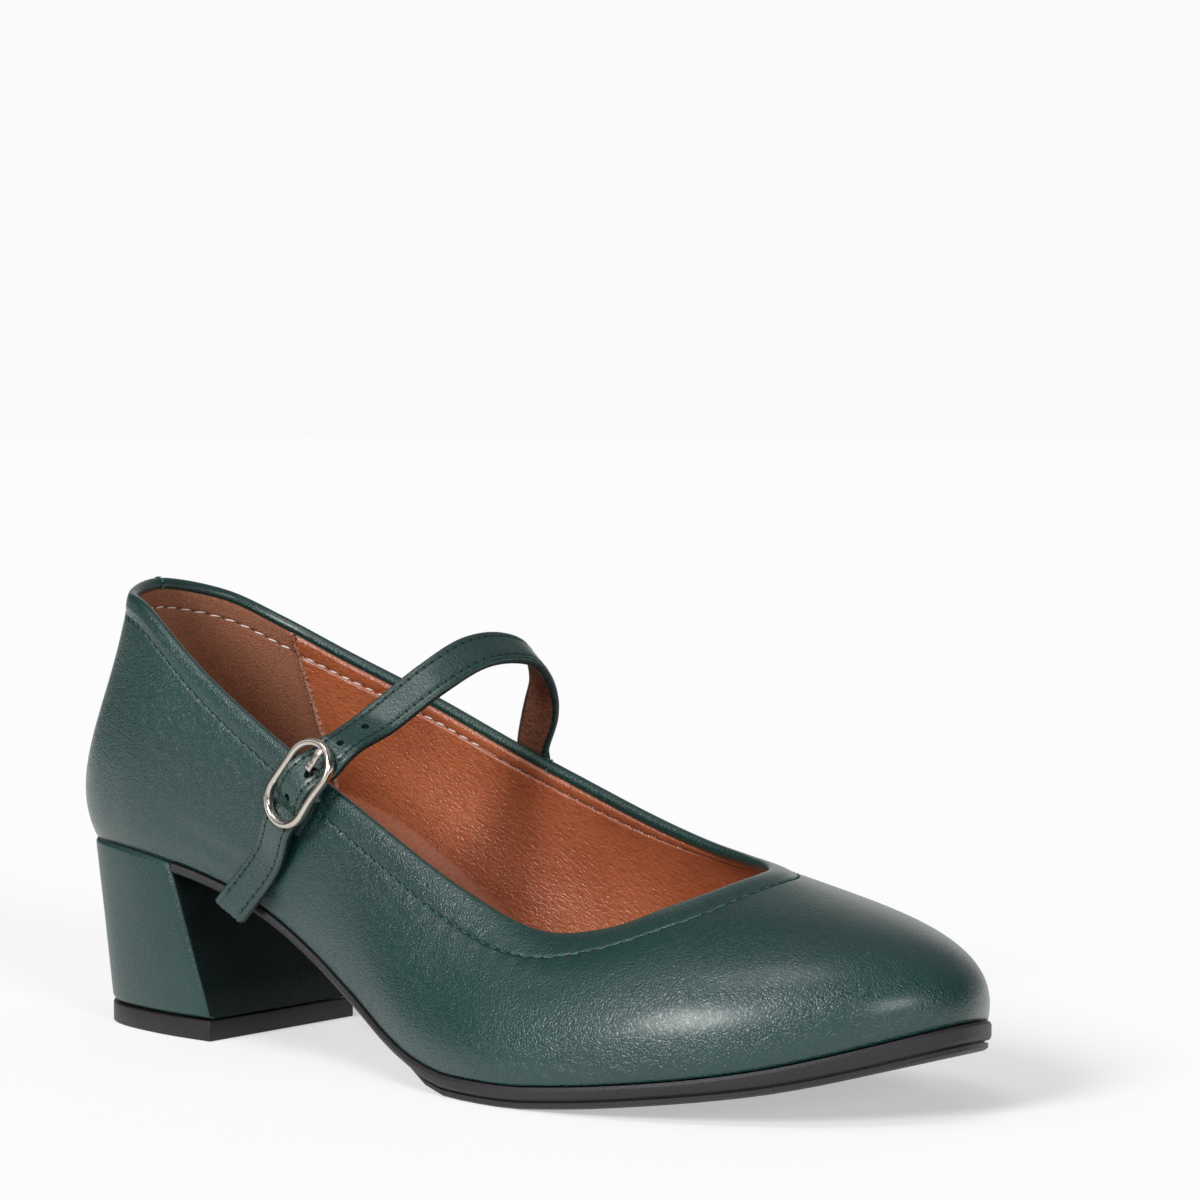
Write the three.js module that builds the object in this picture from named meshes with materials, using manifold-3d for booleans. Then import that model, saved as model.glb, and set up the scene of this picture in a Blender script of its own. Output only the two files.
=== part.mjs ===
// Mary jane pump, right foot, in millimetres. +X points to the toe, +Y to the big-toe side, +Z up.
// While it is built, x = 0 is the back of the heel and y = 0 the middle of the heel; the last line
// moves the shoe so that the origin lies on the floor under the middle of its bounding box.
import * as THREE from 'three';
import { mergeVertices } from 'three/addons/utils/BufferGeometryUtils.js';
import Module from 'manifold-3d';

const wasm = await Module();
wasm.setup();

// Last and upper
const shoeLength = 250;       // back of the heel to the front of the toe, over the upper
const ballWidth = 84;         // across the sole at the ball
const heelHeight = 45.5;      // floor to feather line at the back of the heel
const toeSpring = 12.9;       // rise of the sole's underside at the toe
const collarHeight = 106;     // floor to topline at the back seam
const wallThickness = 2;      // leather, lining and stiffener together
const bindingHeight = 2.6;    // rolled binding round the topline
const bindingSwell = 0.35;    // how far the binding stands out from the wall

// Sole, insole and heel
const weltThickness = 3;      // upper layer of the sole unit at the ball
const toeWeltThickness = 4.1; // the same layer at the toe
const shankThickness = 2.2;   // and in the shank
const treadThickness = 2;     // lower layer under the forefoot
const treadRunOut = 0.25;     // what is left of the lower layer in the shank
const soleOverhang = 0.7;     // sole edge outside the feather line
const grooveDepth = 0.7;      // groove between the two layers
const grooveWidth = 0.5;
const insoleThickness = 2;
const heelWidth = 49.4;       // across the heel at the floor
const heelDepth = 49.8;       // back of the heel to its breast at the floor
const heelBackInset = 6.3;    // back of the heel at the floor, ahead of the shoe's back
const breastTop = 46;         // breast of the heel at the seat, from the shoe's back
const breastTurn = 0.04;      // how far the breast is turned out of square
const liftThickness = 4.8;    // rubber top-lift
const fitGap = 0.3;           // between pieces that are glued or sewn together

// Strap, buckle and keeper
const strapWidth = 9;
const strapThickness = 2.1;
const holePitch = 8;
const holeDiameter = 1.8;
const buckleLength = 21.8;
const buckleOpening = 10.4;   // clear width between the sides of the frame
const buckleBar = 1.4;        // width of the frame's bar seen from the front
const buckleDepth = 2.6;
const buckleBevel = 0.35;
const centreBarRadius = 0.7;
const centreBarClearance = 1.5; // between the centre bar and the outer wall, for the web's fold
const prongRadius = 0.65;
const prongEyeRadius = 1.4;   // middle of the wire that goes round the centre bar
const prongEyeWire = 0.38;
const prongHoleReach = 2.6;   // hole that the prong goes through, up the strap from the centre bar
const prongSlant = 0.3;       // how far the prong leans across on its way to the upper bar
const prongSlit = 3.2;        // width of the keeper's slit for the prong's eye
const keeperThickness = 0.7;
const keeperWidth = 8;
const keeperLength = 11;
const tailSkew = 0.3;         // slant of the cut end, per millimetre across the strap
const tailOverhang = 18;      // strap tail past the last point where it lies on the wall

// Profile of the seat and sole along the foot. Columns: along is a share of shoeLength, rise of the
// heel's rise above the forefoot, spring of toeSpring.
const forefootSole = weltThickness + treadThickness;
const bottomLine = [
  { along: 0.00, rise: 1.000, spring: 0.00 },
  { along: 0.12, rise: 0.963, spring: 0.00 },
  { along: 0.20, rise: 0.889, spring: 0.00 },
  { along: 0.26, rise: 0.805, spring: 0.00 },
  { along: 0.32, rise: 0.668, spring: 0.00 },
  { along: 0.38, rise: 0.495, spring: 0.00 },
  { along: 0.44, rise: 0.305, spring: 0.00 },
  { along: 0.50, rise: 0.138, spring: 0.00 },
  { along: 0.56, rise: 0.028, spring: 0.00 },
  { along: 0.60, rise: 0.000, spring: 0.00 },
  { along: 0.66, rise: 0.000, spring: 0.00 },
  { along: 0.72, rise: 0.000, spring: 0.08 },
  { along: 0.80, rise: 0.000, spring: 0.26 },
  { along: 0.88, rise: 0.000, spring: 0.49 },
  { along: 0.92, rise: 0.000, spring: 0.66 },
  { along: 0.96, rise: 0.000, spring: 0.88 },
  { along: 1.01, rise: 0.000, spring: 1.20 },
];

// Wall sections from the feather line to the topline, outer side first from heel to toe, then back
// along the inner side. Columns: foot x and y, top x, y and z, then the handles of the wall's curve:
// how far it swells out over the feather line and how high that swell sits, how far it bends out
// under the topline and how low that bend sits. x is a share of shoeLength, y and the swells of
// ballWidth, top z of collarHeight, the heights of the wall's own height.
const sectionTable = [
  // footX  footY   topX   topY   topZ  swell  swellAt bend  bendAt
  [0.016, 0.000, 0.055, 0.000, 1.000, 0.118, 0.28, 0.040, 0.42],
  [0.048, -0.228, 0.087, -0.206, 0.979, 0.098, 0.27, 0.036, 0.42],
  [0.120, -0.316, 0.145, -0.298, 0.945, 0.068, 0.26, 0.030, 0.40],
  [0.220, -0.327, 0.235, -0.325, 0.802, 0.048, 0.28, 0.022, 0.38],
  [0.328, -0.330, 0.345, -0.335, 0.655, 0.036, 0.30, 0.020, 0.35],
  [0.436, -0.380, 0.459, -0.345, 0.518, 0.030, 0.31, 0.032, 0.32],
  [0.540, -0.478, 0.559, -0.346, 0.406, 0.028, 0.35, 0.056, 0.26],
  [0.640, -0.535, 0.645, -0.324, 0.337, 0.026, 0.42, 0.100, 0.14],
  [0.738, -0.508, 0.703, -0.261, 0.347, 0.029, 0.47, 0.150, 0.09],
  [0.832, -0.420, 0.744, -0.181, 0.389, 0.034, 0.50, 0.200, 0.11],
  [0.909, -0.290, 0.768, -0.090, 0.419, 0.040, 0.54, 0.270, 0.17],
  [0.967, -0.125, 0.781, -0.014, 0.439, 0.046, 0.59, 0.320, 0.23],
  [0.997, 0.060, 0.784, 0.060, 0.449, 0.048, 0.62, 0.330, 0.27],
  [0.970, 0.276, 0.773, 0.143, 0.452, 0.046, 0.60, 0.310, 0.28],
  [0.912, 0.413, 0.749, 0.208, 0.455, 0.040, 0.55, 0.260, 0.24],
  [0.834, 0.463, 0.713, 0.256, 0.462, 0.032, 0.50, 0.190, 0.18],
  [0.738, 0.461, 0.659, 0.298, 0.481, 0.028, 0.46, 0.120, 0.16],
  [0.640, 0.435, 0.587, 0.331, 0.522, 0.024, 0.40, 0.068, 0.20],
  [0.540, 0.385, 0.507, 0.351, 0.579, 0.024, 0.34, 0.040, 0.26],
  [0.436, 0.336, 0.415, 0.357, 0.652, 0.028, 0.31, 0.024, 0.32],
  [0.328, 0.314, 0.316, 0.350, 0.741, 0.034, 0.30, 0.018, 0.35],
  [0.220, 0.319, 0.215, 0.331, 0.826, 0.046, 0.28, 0.022, 0.38],
  [0.120, 0.312, 0.132, 0.296, 0.905, 0.066, 0.26, 0.030, 0.40],
  [0.048, 0.221, 0.079, 0.202, 0.968, 0.102, 0.25, 0.036, 0.42],
];
const sectionCount = sectionTable.length;
const toeSection = sectionCount / 2;
const columnsPerSection = 4;

// Free stretch of the strap over the instep, from the inner topline to the buckle. Columns are
// shares of shoeLength, ballWidth and collarHeight, and how far the strap's face leans forward.
const strapArch = [
  { along: 0.445, across: 0.357, up: 0.729, lean: 0.10 },
  { along: 0.453, across: 0.336, up: 0.787, lean: 0.22 },
  { along: 0.459, across: 0.268, up: 0.848, lean: 0.38 },
  { along: 0.455, across: 0.190, up: 0.868, lean: 0.44 },
  { along: 0.449, across: 0.070, up: 0.861, lean: 0.44 },
  { along: 0.436, across: -0.060, up: 0.813, lean: 0.38 },
  { along: 0.412, across: -0.202, up: 0.726, lean: 0.25 },
];
const strapRootSection = 18.86;  // where its root lies on the inner wall, in rows of the table
const strapRootReach = [0.84, 0.92, 1.0];
const buckleSection = 4.3;      // where the buckle sits on the outer wall
const buckleWallHeight = 0.93;
const keeperBackStep = 0.3;      // how far back of the buckle the keeper is sewn down, in rows
const keeperFootHeight = 0.62;
const tailSection = 3.98;        // where the tail first lies on the outer wall
const tailWallHeight = 0.38;
const tailRun = new THREE.Vector3(-0.69, -0.01, -0.72);

const leather = { color: 0x1f4a42, roughness: 0.42, metalness: 0 };
const coverLeather = { color: 0x1b423b, roughness: 0.48, metalness: 0 };
const insoleLeather = { color: 0x9c5530, roughness: 0.5, metalness: 0 };
const soleRubber = { color: 0x3a3437, roughness: 0.6, metalness: 0 };
const liftRubber = { color: 0x2c2526, roughness: 0.55, metalness: 0 };
const satinNickel = { color: 0xb9b1a6, roughness: 0.28, metalness: 1 };
const elasticWeb = { color: 0x1d2f2c, roughness: 0.85, metalness: 0 };

const clamp01 = (value) => Math.min(1, Math.max(0, value));
const smoothStep = (from, to, value) => {
  const t = clamp01((value - from) / (to - from));
  return t * t * (3 - 2 * t);
};
const spread = (count, from, to) =>
  Array.from({ length: count }, (_, i) => from + ((to - from) * i) / (count - 1));

// Value of one column of bottomLine at a share of the length, without overshoot between rows.
function alongBottom(column, along) {
  const last = bottomLine.length - 2;
  const found = bottomLine.findIndex((row, i) => i > 0 && along <= row.along);
  const k = found < 0 ? last : Math.max(0, found - 1);
  const slope = (i) => {
    const j = Math.min(last, Math.max(0, i));
    return (bottomLine[j + 1][column] - bottomLine[j][column]) / (bottomLine[j + 1].along - bottomLine[j].along);
  };
  const tangent = (i) => {
    const before = slope(i - 1);
    const after = slope(i);
    return before * after > 0 ? (2 * before * after) / (before + after) : 0;
  };
  const start = bottomLine[k];
  const end = bottomLine[k + 1];
  const span = end.along - start.along;
  const t = clamp01((along - start.along) / span);
  const t2 = t * t;
  const t3 = t2 * t;
  return (2 * t3 - 3 * t2 + 1) * start[column] + (t3 - 2 * t2 + t) * span * tangent(k)
    + (3 * t2 - 2 * t3) * end[column] + (t3 - t2) * span * tangent(k + 1);
}

// How much thicker the welt layer is at x than at the ball.
const toeWelt = (x) => (toeWeltThickness - weltThickness) * smoothStep(0.8, 1, x / shoeLength);

// Height of the feather line, where upper and sole meet.
function seatHeight(x) {
  const along = x / shoeLength;
  return forefootSole + toeWelt(x) + alongBottom('rise', along) * (heelHeight - forefootSole)
    + alongBottom('spring', along) * toeSpring;
}

// One column of the section table at a place s along the rows, round the shoe and smooth.
function sectionValue(column, s) {
  const wrapped = ((s % sectionCount) + sectionCount) % sectionCount;
  const k = Math.floor(wrapped);
  const t = wrapped - k;
  const [a, b, c, d] = [-1, 0, 1, 2].map(
    (step) => sectionTable[(k + step + sectionCount) % sectionCount][column]);
  return b + 0.5 * t * (c - a + t * (2 * a - 5 * b + 4 * c - d + t * (3 * (b - c) + d - a)));
}

const footPlan = (s) =>
  new THREE.Vector2(sectionValue(0, s) * shoeLength, sectionValue(1, s) * ballWidth);
const topPlan = (s) =>
  new THREE.Vector2(sectionValue(2, s) * shoeLength, sectionValue(3, s) * ballWidth);

// Outward direction of a plan outline that runs from the heel along the outer side to the toe.
function planNormal(plan, s) {
  const step = 0.05;
  const run = plan(s + step).sub(plan(s - step)).normalize();
  return new THREE.Vector2(run.y, -run.x);
}

const footPoint = (s) => {
  const p = footPlan(s);
  return new THREE.Vector3(p.x, p.y, seatHeight(p.x));
};

// The four control points of the wall's curve at s.
function wallHandles(s) {
  const foot = footPoint(s);
  const top = new THREE.Vector3(...topPlan(s), sectionValue(4, s) * collarHeight);
  const height = top.z - foot.z;
  const footOut = planNormal(footPlan, s).multiplyScalar(sectionValue(5, s) * ballWidth);
  const topOut = planNormal(topPlan, s).multiplyScalar(sectionValue(7, s) * ballWidth);
  const low = new THREE.Vector3(foot.x + footOut.x, foot.y + footOut.y, foot.z + height * sectionValue(6, s));
  const high = new THREE.Vector3(top.x + topOut.x, top.y + topOut.y, top.z - height * sectionValue(8, s));
  return new THREE.CubicBezierCurve3(foot, low, high, top);
}

const wallAt = (s, t) => wallHandles(s).getPoint(t);

function wallNormal(s, t) {
  const step = 0.02;
  const round = wallAt(s + step, t).sub(wallAt(s - step, t));
  const up = wallHandles(s).getTangent(Math.min(1 - step, Math.max(step, t)));
  return round.cross(up).normalize();
}

// A closed body from triangles. A body that came out inside out is turned.
function bodyFrom(positions, index) {
  let volume = 0;
  const [a, b, c] = [new THREE.Vector3(), new THREE.Vector3(), new THREE.Vector3()];
  for (let i = 0; i < index.length; i += 3) {
    a.fromArray(positions, index[i] * 3);
    b.fromArray(positions, index[i + 1] * 3);
    c.fromArray(positions, index[i + 2] * 3);
    volume += a.dot(b.cross(c));
  }
  if (volume < 0) index.reverse();
  const geometry = new THREE.BufferGeometry();
  geometry.setAttribute('position', new THREE.Float32BufferAttribute(positions, 3));
  geometry.setIndex(index);
  return geometry;
}

// Joins rings of equal point count, one above another. Closed rings give a tube that is joined
// end to end, so that it encloses a ring-shaped body such as the wall of the upper.
function joinRings(rings, endToEnd) {
  const count = rings[0].length;
  const positions = rings.flat().flatMap((p) => [p.x, p.y, p.z]);
  const index = [];
  const quad = (a, b, c, d) => index.push(a, b, c, a, c, d);
  const steps = endToEnd ? rings.length : rings.length - 1;
  for (let r = 0; r < steps; r++) {
    const next = ((r + 1) % rings.length) * count;
    for (let i = 0; i < count; i++) {
      const j = (i + 1) % count;
      quad(r * count + i, r * count + j, next + j, next + i);
    }
  }
  if (!endToEnd) {
    // Caps of strips across the ring, between the points that face each other.
    const last = (rings.length - 1) * count;
    for (let i = 0; i < count / 2 - 1; i++) {
      const far = count - 1 - i;
      quad(far, far - 1, i + 1, i);
      quad(last + i, last + i + 1, last + far - 1, last + far);
    }
  }
  return bodyFrom(positions, index);
}

// Points of a plan outline between two places s, moved outward by an offset.
const outline = (places, offset) =>
  places.map((s) => footPlan(s).addScaledVector(planNormal(footPlan, s), offset));
const lifted = (points, height) => points.map((p) => new THREE.Vector3(p.x, p.y, height(p.x)));

function solidFrom(geometry) {
  const bare = geometry.clone();
  bare.deleteAttribute('normal');
  bare.deleteAttribute('uv');
  const merged = mergeVertices(bare, 1e-4);
  return new wasm.Manifold(new wasm.Mesh({
    numProp: 3,
    vertProperties: new Float32Array(merged.attributes.position.array),
    triVerts: new Uint32Array(merged.index.array),
  }));
}

function geometryFrom(solid) {
  const mesh = solid.getMesh();
  const geometry = new THREE.BufferGeometry();
  geometry.setAttribute('position', new THREE.BufferAttribute(mesh.vertProperties, 3));
  geometry.setIndex(new THREE.BufferAttribute(mesh.triVerts, 1));
  return geometry;
}

function namedMesh(name, geometry, finish) {
  const mesh = new THREE.Mesh(geometry, new THREE.MeshStandardMaterial(finish));
  mesh.name = name;
  return mesh;
}

// Hollow upper: the wall's outer face, its rolled binding at the topline and its inner face.
function makeUpper() {
  const wallRings = 11;
  const bindingRings = 3;
  const columns = spread(sectionCount * columnsPerSection + 1, 0, sectionCount).slice(0, -1);
  const rings = Array.from({ length: 2 * (wallRings + bindingRings) + 1 }, () => []);
  for (const s of columns) {
    const curve = wallHandles(s);
    const length = curve.getLength();
    const bindingStart = 1 - bindingHeight / length;
    const heights = [
      ...spread(wallRings, 0, bindingStart),
      ...spread(bindingRings + 1, bindingStart, 1).slice(1),
    ];
    heights.forEach((share, ring) => {
      const t = curve.getUtoTmapping(share);
      const normal = wallNormal(s, t);
      const swell = [0, bindingSwell, bindingSwell, 0][Math.max(0, ring - wallRings + 1)];
      const outer = curve.getPoint(t).addScaledVector(normal, swell);
      const inner = curve.getPoint(t).addScaledVector(normal, -wallThickness);
      if (ring === 0) inner.z = outer.z;
      rings[ring].push(outer);
      rings[rings.length - 1 - ring].push(inner);
    });
    const crown = wallHandles(s).getPoint(1).addScaledVector(wallNormal(s, 1), -wallThickness / 2);
    crown.z += wallThickness / 4;
    rings[wallRings + bindingRings].push(crown);
  }
  return namedMesh('upper', joinRings(rings, true), leather);
}

// Insole board, inside the wall from the back of the heel to the toe.
function makeInsole() {
  const halfStep = 1 / (2 * columnsPerSection);
  const places = spread(sectionCount * columnsPerSection, halfStep, sectionCount - halfStep);
  const edge = outline(places, -(wallThickness + fitGap));
  const rings = [
    lifted(edge, seatHeight),
    lifted(edge, (x) => seatHeight(x) + insoleThickness),
  ];
  return namedMesh('insole', joinRings(rings, false), insoleLeather);
}

// Place s on the outer side where the feather line crosses a given x.
function sectionAtX(x) {
  let [near, far] = [0, toeSection];
  for (let i = 0; i < 40; i++) {
    const middle = (near + far) / 2;
    if (footPlan(middle).x < x) near = middle;
    else far = middle;
  }
  return near;
}

// How far the breast of the heel comes forward for each millimetre down from the seat.
const breastLean = () => (heelBackInset + heelDepth - breastTop) / seatHeight(breastTop);

// Sole unit from the breast of the heel to the toe: an upper layer, a groove, and a tread layer
// that runs out at the back of the ball.
function makeOutsole() {
  const shankDepth = shankThickness + treadRunOut + fitGap;
  const start = sectionAtX(breastTop + 2 * fitGap + breastLean() * shankDepth);
  const pointsPerSide = 40;
  const tipGap = 0.08;
  const outerHalf = spread(pointsPerSide, start, toeSection - tipGap);
  const places = [...outerHalf, ...outerHalf.map((s) => sectionCount - s).reverse()];
  const forefoot = (x) => smoothStep(0.54, 0.575, x / shoeLength);
  const layer = (x) => shankThickness + (weltThickness - shankThickness) * forefoot(x) + toeWelt(x);
  const tread = (x) => treadRunOut + (treadThickness - treadRunOut) * forefoot(x);
  const groove = (x) => grooveWidth * forefoot(x);
  const edge = 0.7;
  const lip = 0.05;
  const top = (x) => seatHeight(x) - fitGap;
  const layerFoot = (x) => seatHeight(x) - layer(x);
  const bottom = (x) => Math.max(0, layerFoot(x) - tread(x));
  const rows = [
    { out: soleOverhang / 2, height: top },
    { out: soleOverhang, height: (x) => top(x) - edge },
    { out: soleOverhang, height: (x) => layerFoot(x) + edge },
    { out: soleOverhang / 2, height: layerFoot },
    { out: -grooveDepth, height: (x) => layerFoot(x) - lip / 2 },
    { out: -grooveDepth, height: (x) => layerFoot(x) - lip - groove(x) },
    { out: 0, height: (x) => layerFoot(x) - 2 * lip - groove(x) },
    { out: 0, height: (x) => bottom(x) + lip + (edge / 2) * forefoot(x) },
    { out: -edge, height: bottom },
  ];
  const rings = rows.map(({ out, height }) => lifted(outline(places, out), height));
  return namedMesh('outsole', joinRings(rings, false), soleRubber);
}

// Heel outline at the seat, and the D-shaped outline at the floor that it tapers to.
const heelPlaces = () => {
  const breast = sectionAtX(breastTop);
  return spread(38, breast, -breast);
};
const heelTopOutline = () => outline(heelPlaces(), fitGap);
function heelFloorOutline() {
  const top = heelTopOutline();
  const back = Math.min(...top.map((p) => p.x));
  const topDepth = breastTop - back;
  const topHalfWidth = Math.max(...top.map((p) => p.y));
  return top.map((p) => {
    const depth = (p.x - back) / topDepth;
    const y = (p.y / topHalfWidth) * (heelWidth / 2);
    return new THREE.Vector2(heelBackInset + depth * (heelDepth - breastTurn * y), y);
  });
}

function makeHeelBlock() {
  const top = heelTopOutline();
  const floor = heelFloorOutline();
  const foot = liftThickness + fitGap;
  const rings = spread(6, 0, 1).map((share) => floor.map((p, i) => {
    const plan = p.clone().lerp(top[i], share);
    const height = foot + share * (seatHeight(top[i].x) - fitGap - foot);
    return new THREE.Vector3(plan.x, plan.y, height);
  }));
  return namedMesh('heel_block', joinRings(rings, false), coverLeather);
}

function makeTopLift() {
  const floor = heelFloorOutline();
  const rings = [0, liftThickness].map((z) => lifted(floor, () => z));
  return namedMesh('heel_top_lift', joinRings(rings, false), liftRubber);
}

// Frame of the buckle: long runs up along the strap, across along the centre bar, out away from
// the foot. Its origin lies on the wall, and the frame's middle stands off by buckleStandOff.
const barHeight = centreBarClearance + centreBarRadius;
const keeperTop = barHeight + centreBarRadius + fitGap + keeperThickness;
const strapOverBar = keeperTop + fitGap + strapThickness / 2;
const buckleStandOff = strapOverBar + strapThickness / 2 - buckleDepth / 2;
const strapUnderBar = buckleStandOff - buckleDepth / 2 - fitGap - strapThickness / 2;
const buckleFrame = (() => {
  const long = new THREE.Vector3(0.55, 0.2, 0.81).normalize();
  const wallOut = wallNormal(buckleSection, buckleWallHeight);
  const out = wallOut.addScaledVector(long, -wallOut.dot(long)).normalize();
  const across = new THREE.Vector3().crossVectors(out, long);
  const origin = wallAt(buckleSection, buckleWallHeight);
  return new THREE.Matrix4().makeBasis(long, across, out).setPosition(origin);
})();
const inBuckle = (long, across, out) => new THREE.Vector3(long, across, out).applyMatrix4(buckleFrame);

// Middle line of the strap, each point with the way that the strap faces there: up from its root
// on the inner wall, over the instep, under the frame's upper bar, over the centre bar, under the
// lower bar, and down the outer wall.
function strapLine() {
  const lift = fitGap + strapThickness / 2;
  const onWall = (s, t, extra) => {
    const face = wallNormal(s, t);
    return { point: wallAt(s, t).addScaledVector(face, lift + extra), face };
  };
  const root = strapRootReach.map((t) => onWall(strapRootSection, t, bindingSwell));
  const instepHeight = 0.42 * collarHeight;
  const arch = strapArch.map(({ along, across, up, lean }) => {
    const point = new THREE.Vector3(along * shoeLength, across * ballWidth, up * collarHeight);
    const face = new THREE.Vector3(0, point.y, point.z - instepHeight).normalize();
    face.x = lean;
    return { point, face: face.normalize() };
  });
  const out = new THREE.Vector3().setFromMatrixColumn(buckleFrame, 2);
  const drift = 0.06;  // the strap comes down to the centre bar at a slight slant
  const woven = [
    ...[1, 0.62].map((reach) => [reach, strapUnderBar - fitGap]),
    [0.33, (strapUnderBar + strapOverBar) / 2 + strapThickness / 4],
    [0, strapOverBar],
    [-0.33, (strapUnderBar + strapOverBar) / 2 + strapThickness / 4],
    ...[-0.62, -1].map((reach) => [reach, strapUnderBar]),
  ].map(([reach, height]) => {
    const long = (reach * buckleLength) / 2;
    return { point: inBuckle(long, -Math.max(0, long) * drift, height), face: out.clone() };
  });
  const lying = onWall(tailSection, tailWallHeight, 0);
  const tailEnd = lying.point.clone().addScaledVector(tailRun, tailOverhang);
  return [...root, ...arch, ...woven, lying, { point: tailEnd, face: lying.face.clone() }];
}

// Way of the prong: round the centre bar, up through the strap's hole and onto the upper bar.
// It can be made longer at both ends, to cut the hole that it goes through.
function prongCurve(extra) {
  const rest = buckleStandOff + buckleDepth / 2 + fitGap + prongRadius;
  return new THREE.CatmullRomCurve3([
    inBuckle(prongEyeWire - extra, 0, barHeight + prongEyeRadius),
    inBuckle(1.9, -prongSlant, strapOverBar - strapThickness / 2),
    inBuckle(4.2, -2 * prongSlant, rest - prongRadius / 3),
    inBuckle(buckleLength / 2 - buckleBar, -4 * prongSlant, rest),
    inBuckle(buckleLength / 2 + extra, -4 * prongSlant, rest),
  ]);
}

function prongRod(radius, extra) {
  const sides = 8;
  const circle = new THREE.Shape(new THREE.Path().absarc(0, 0, radius, 0, 2 * Math.PI).getPoints(sides));
  return new THREE.ExtrudeGeometry(circle, { steps: 12, extrudePath: prongCurve(extra), bevelEnabled: false });
}

// Strap body: a flat band swept along its middle line, with a slot where the prong goes through
// and the punched holes that are left open, at equal steps from the prong.
function makeStrap() {
  const line = strapLine();
  const curve = new THREE.CatmullRomCurve3(line.map((row) => row.point), false, 'centripetal');
  const faces = new THREE.CatmullRomCurve3(line.map((row) => row.face), false, 'centripetal');
  const steps = 60;
  const half = strapWidth / 2;
  const thick = strapThickness / 2;
  const corner = 0.4;
  const section = [
    [half, -thick + corner], [half, thick - corner], [half - corner, thick], [-half + corner, thick],
    [-half, thick - corner], [-half, -thick + corner], [-half + corner, -thick], [half - corner, -thick],
  ];
  const rings = spread(steps + 1, 0, 1).map((u) => {
    const t = curve.getUtoTmapping(u);
    const middle = curve.getPoint(t);
    const tangent = curve.getTangent(t);
    const across = tangent.clone().cross(faces.getPoint(t)).normalize();
    const face = across.clone().cross(tangent).normalize();
    return section.map(([w, h]) =>
      middle.clone().addScaledVector(across, w).addScaledVector(face, h));
  });
  const skew = rings[steps];
  skew.forEach((point, i) => point.addScaledVector(tailRun, section[i][0] * tailSkew));
  let solid = solidFrom(joinRings(rings, false)).subtract(solidFrom(prongRod(prongRadius + fitGap, 2 * fitGap)));
  for (const along of holePlaces(curve)) {
    const t = curve.getUtoTmapping(along);
    const drill = new THREE.CylinderGeometry(holeDiameter / 2, holeDiameter / 2, 3 * strapThickness, 10);
    const face = faces.getPoint(t).normalize();
    drill.applyQuaternion(new THREE.Quaternion().setFromUnitVectors(new THREE.Vector3(0, 1, 0), face));
    drill.translate(...curve.getPoint(t));
    solid = solid.subtract(solidFrom(drill));
  }
  return namedMesh('strap', geometryFrom(solid), leather);
}

// Places of the free holes as shares of the strap's length: two up the strap, one down the tail.
function holePlaces(curve) {
  const length = curve.getLength();
  const prongPlace = inBuckle(prongHoleReach, 0, strapOverBar);
  const samples = spread(401, 0, 1);
  const distance = (u) => curve.getPointAt(u).distanceTo(prongPlace);
  const nearest = samples.reduce((best, u) => (distance(u) < distance(best) ? u : best));
  return [-2, -1, 1].map((pitches) => nearest + (pitches * holePitch) / length);
}

// Oval frame with a centre bar that is set down from it on two lugs.
function makeBuckleFrame() {
  const bevel = buckleBevel;
  const oval = (halfWidth, halfLength) => {
    const path = new THREE.Path();
    const straight = halfLength - halfWidth;
    path.absarc(straight, 0, halfWidth, -Math.PI / 2, Math.PI / 2, false);
    path.absarc(-straight, 0, halfWidth, Math.PI / 2, (3 * Math.PI) / 2, false);
    return path;
  };
  const innerHalf = buckleOpening / 2;
  const outer = new THREE.Shape(oval(innerHalf + buckleBar - bevel, buckleLength / 2 - bevel).getPoints(8));
  outer.holes.push(new THREE.Path(oval(innerHalf + bevel, buckleLength / 2 - buckleBar + bevel).getPoints(8)));
  const frame = new THREE.ExtrudeGeometry(outer, {
    depth: buckleDepth - 2 * bevel, bevelThickness: bevel, bevelSize: bevel, bevelSegments: 2,
  });
  frame.translate(0, 0, buckleStandOff - buckleDepth / 2 + bevel);
  const barLength = buckleOpening + buckleBar;
  const bar = new THREE.CylinderGeometry(centreBarRadius, centreBarRadius, barLength, 12);
  bar.translate(0, 0, barHeight);
  const lugFoot = barHeight - centreBarRadius;
  const lugTop = buckleStandOff;
  let solid = solidFrom(frame).add(solidFrom(bar));
  for (const side of [-1, 1]) {
    const lug = new THREE.BoxGeometry(2 * centreBarRadius, buckleBar, lugTop - lugFoot);
    lug.translate(0, side * (innerHalf + buckleBar / 2), (lugTop + lugFoot) / 2);
    solid = solid.add(solidFrom(lug));
  }
  const geometry = geometryFrom(solid);
  geometry.applyMatrix4(buckleFrame);
  return namedMesh('buckle_frame', geometry, satinNickel);
}

// Prong: an eye round the centre bar and a rod that lies on the frame's upper bar.
function makeBuckleProng() {
  const eye = new THREE.TorusGeometry(prongEyeRadius, prongEyeWire, 6, 14);
  eye.rotateX(Math.PI / 2);
  eye.translate(0, 0, barHeight);
  eye.applyMatrix4(buckleFrame);
  const solid = solidFrom(eye).add(solidFrom(prongRod(prongRadius, 0)));
  return namedMesh('buckle_prong', geometryFrom(solid), satinNickel);
}

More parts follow.
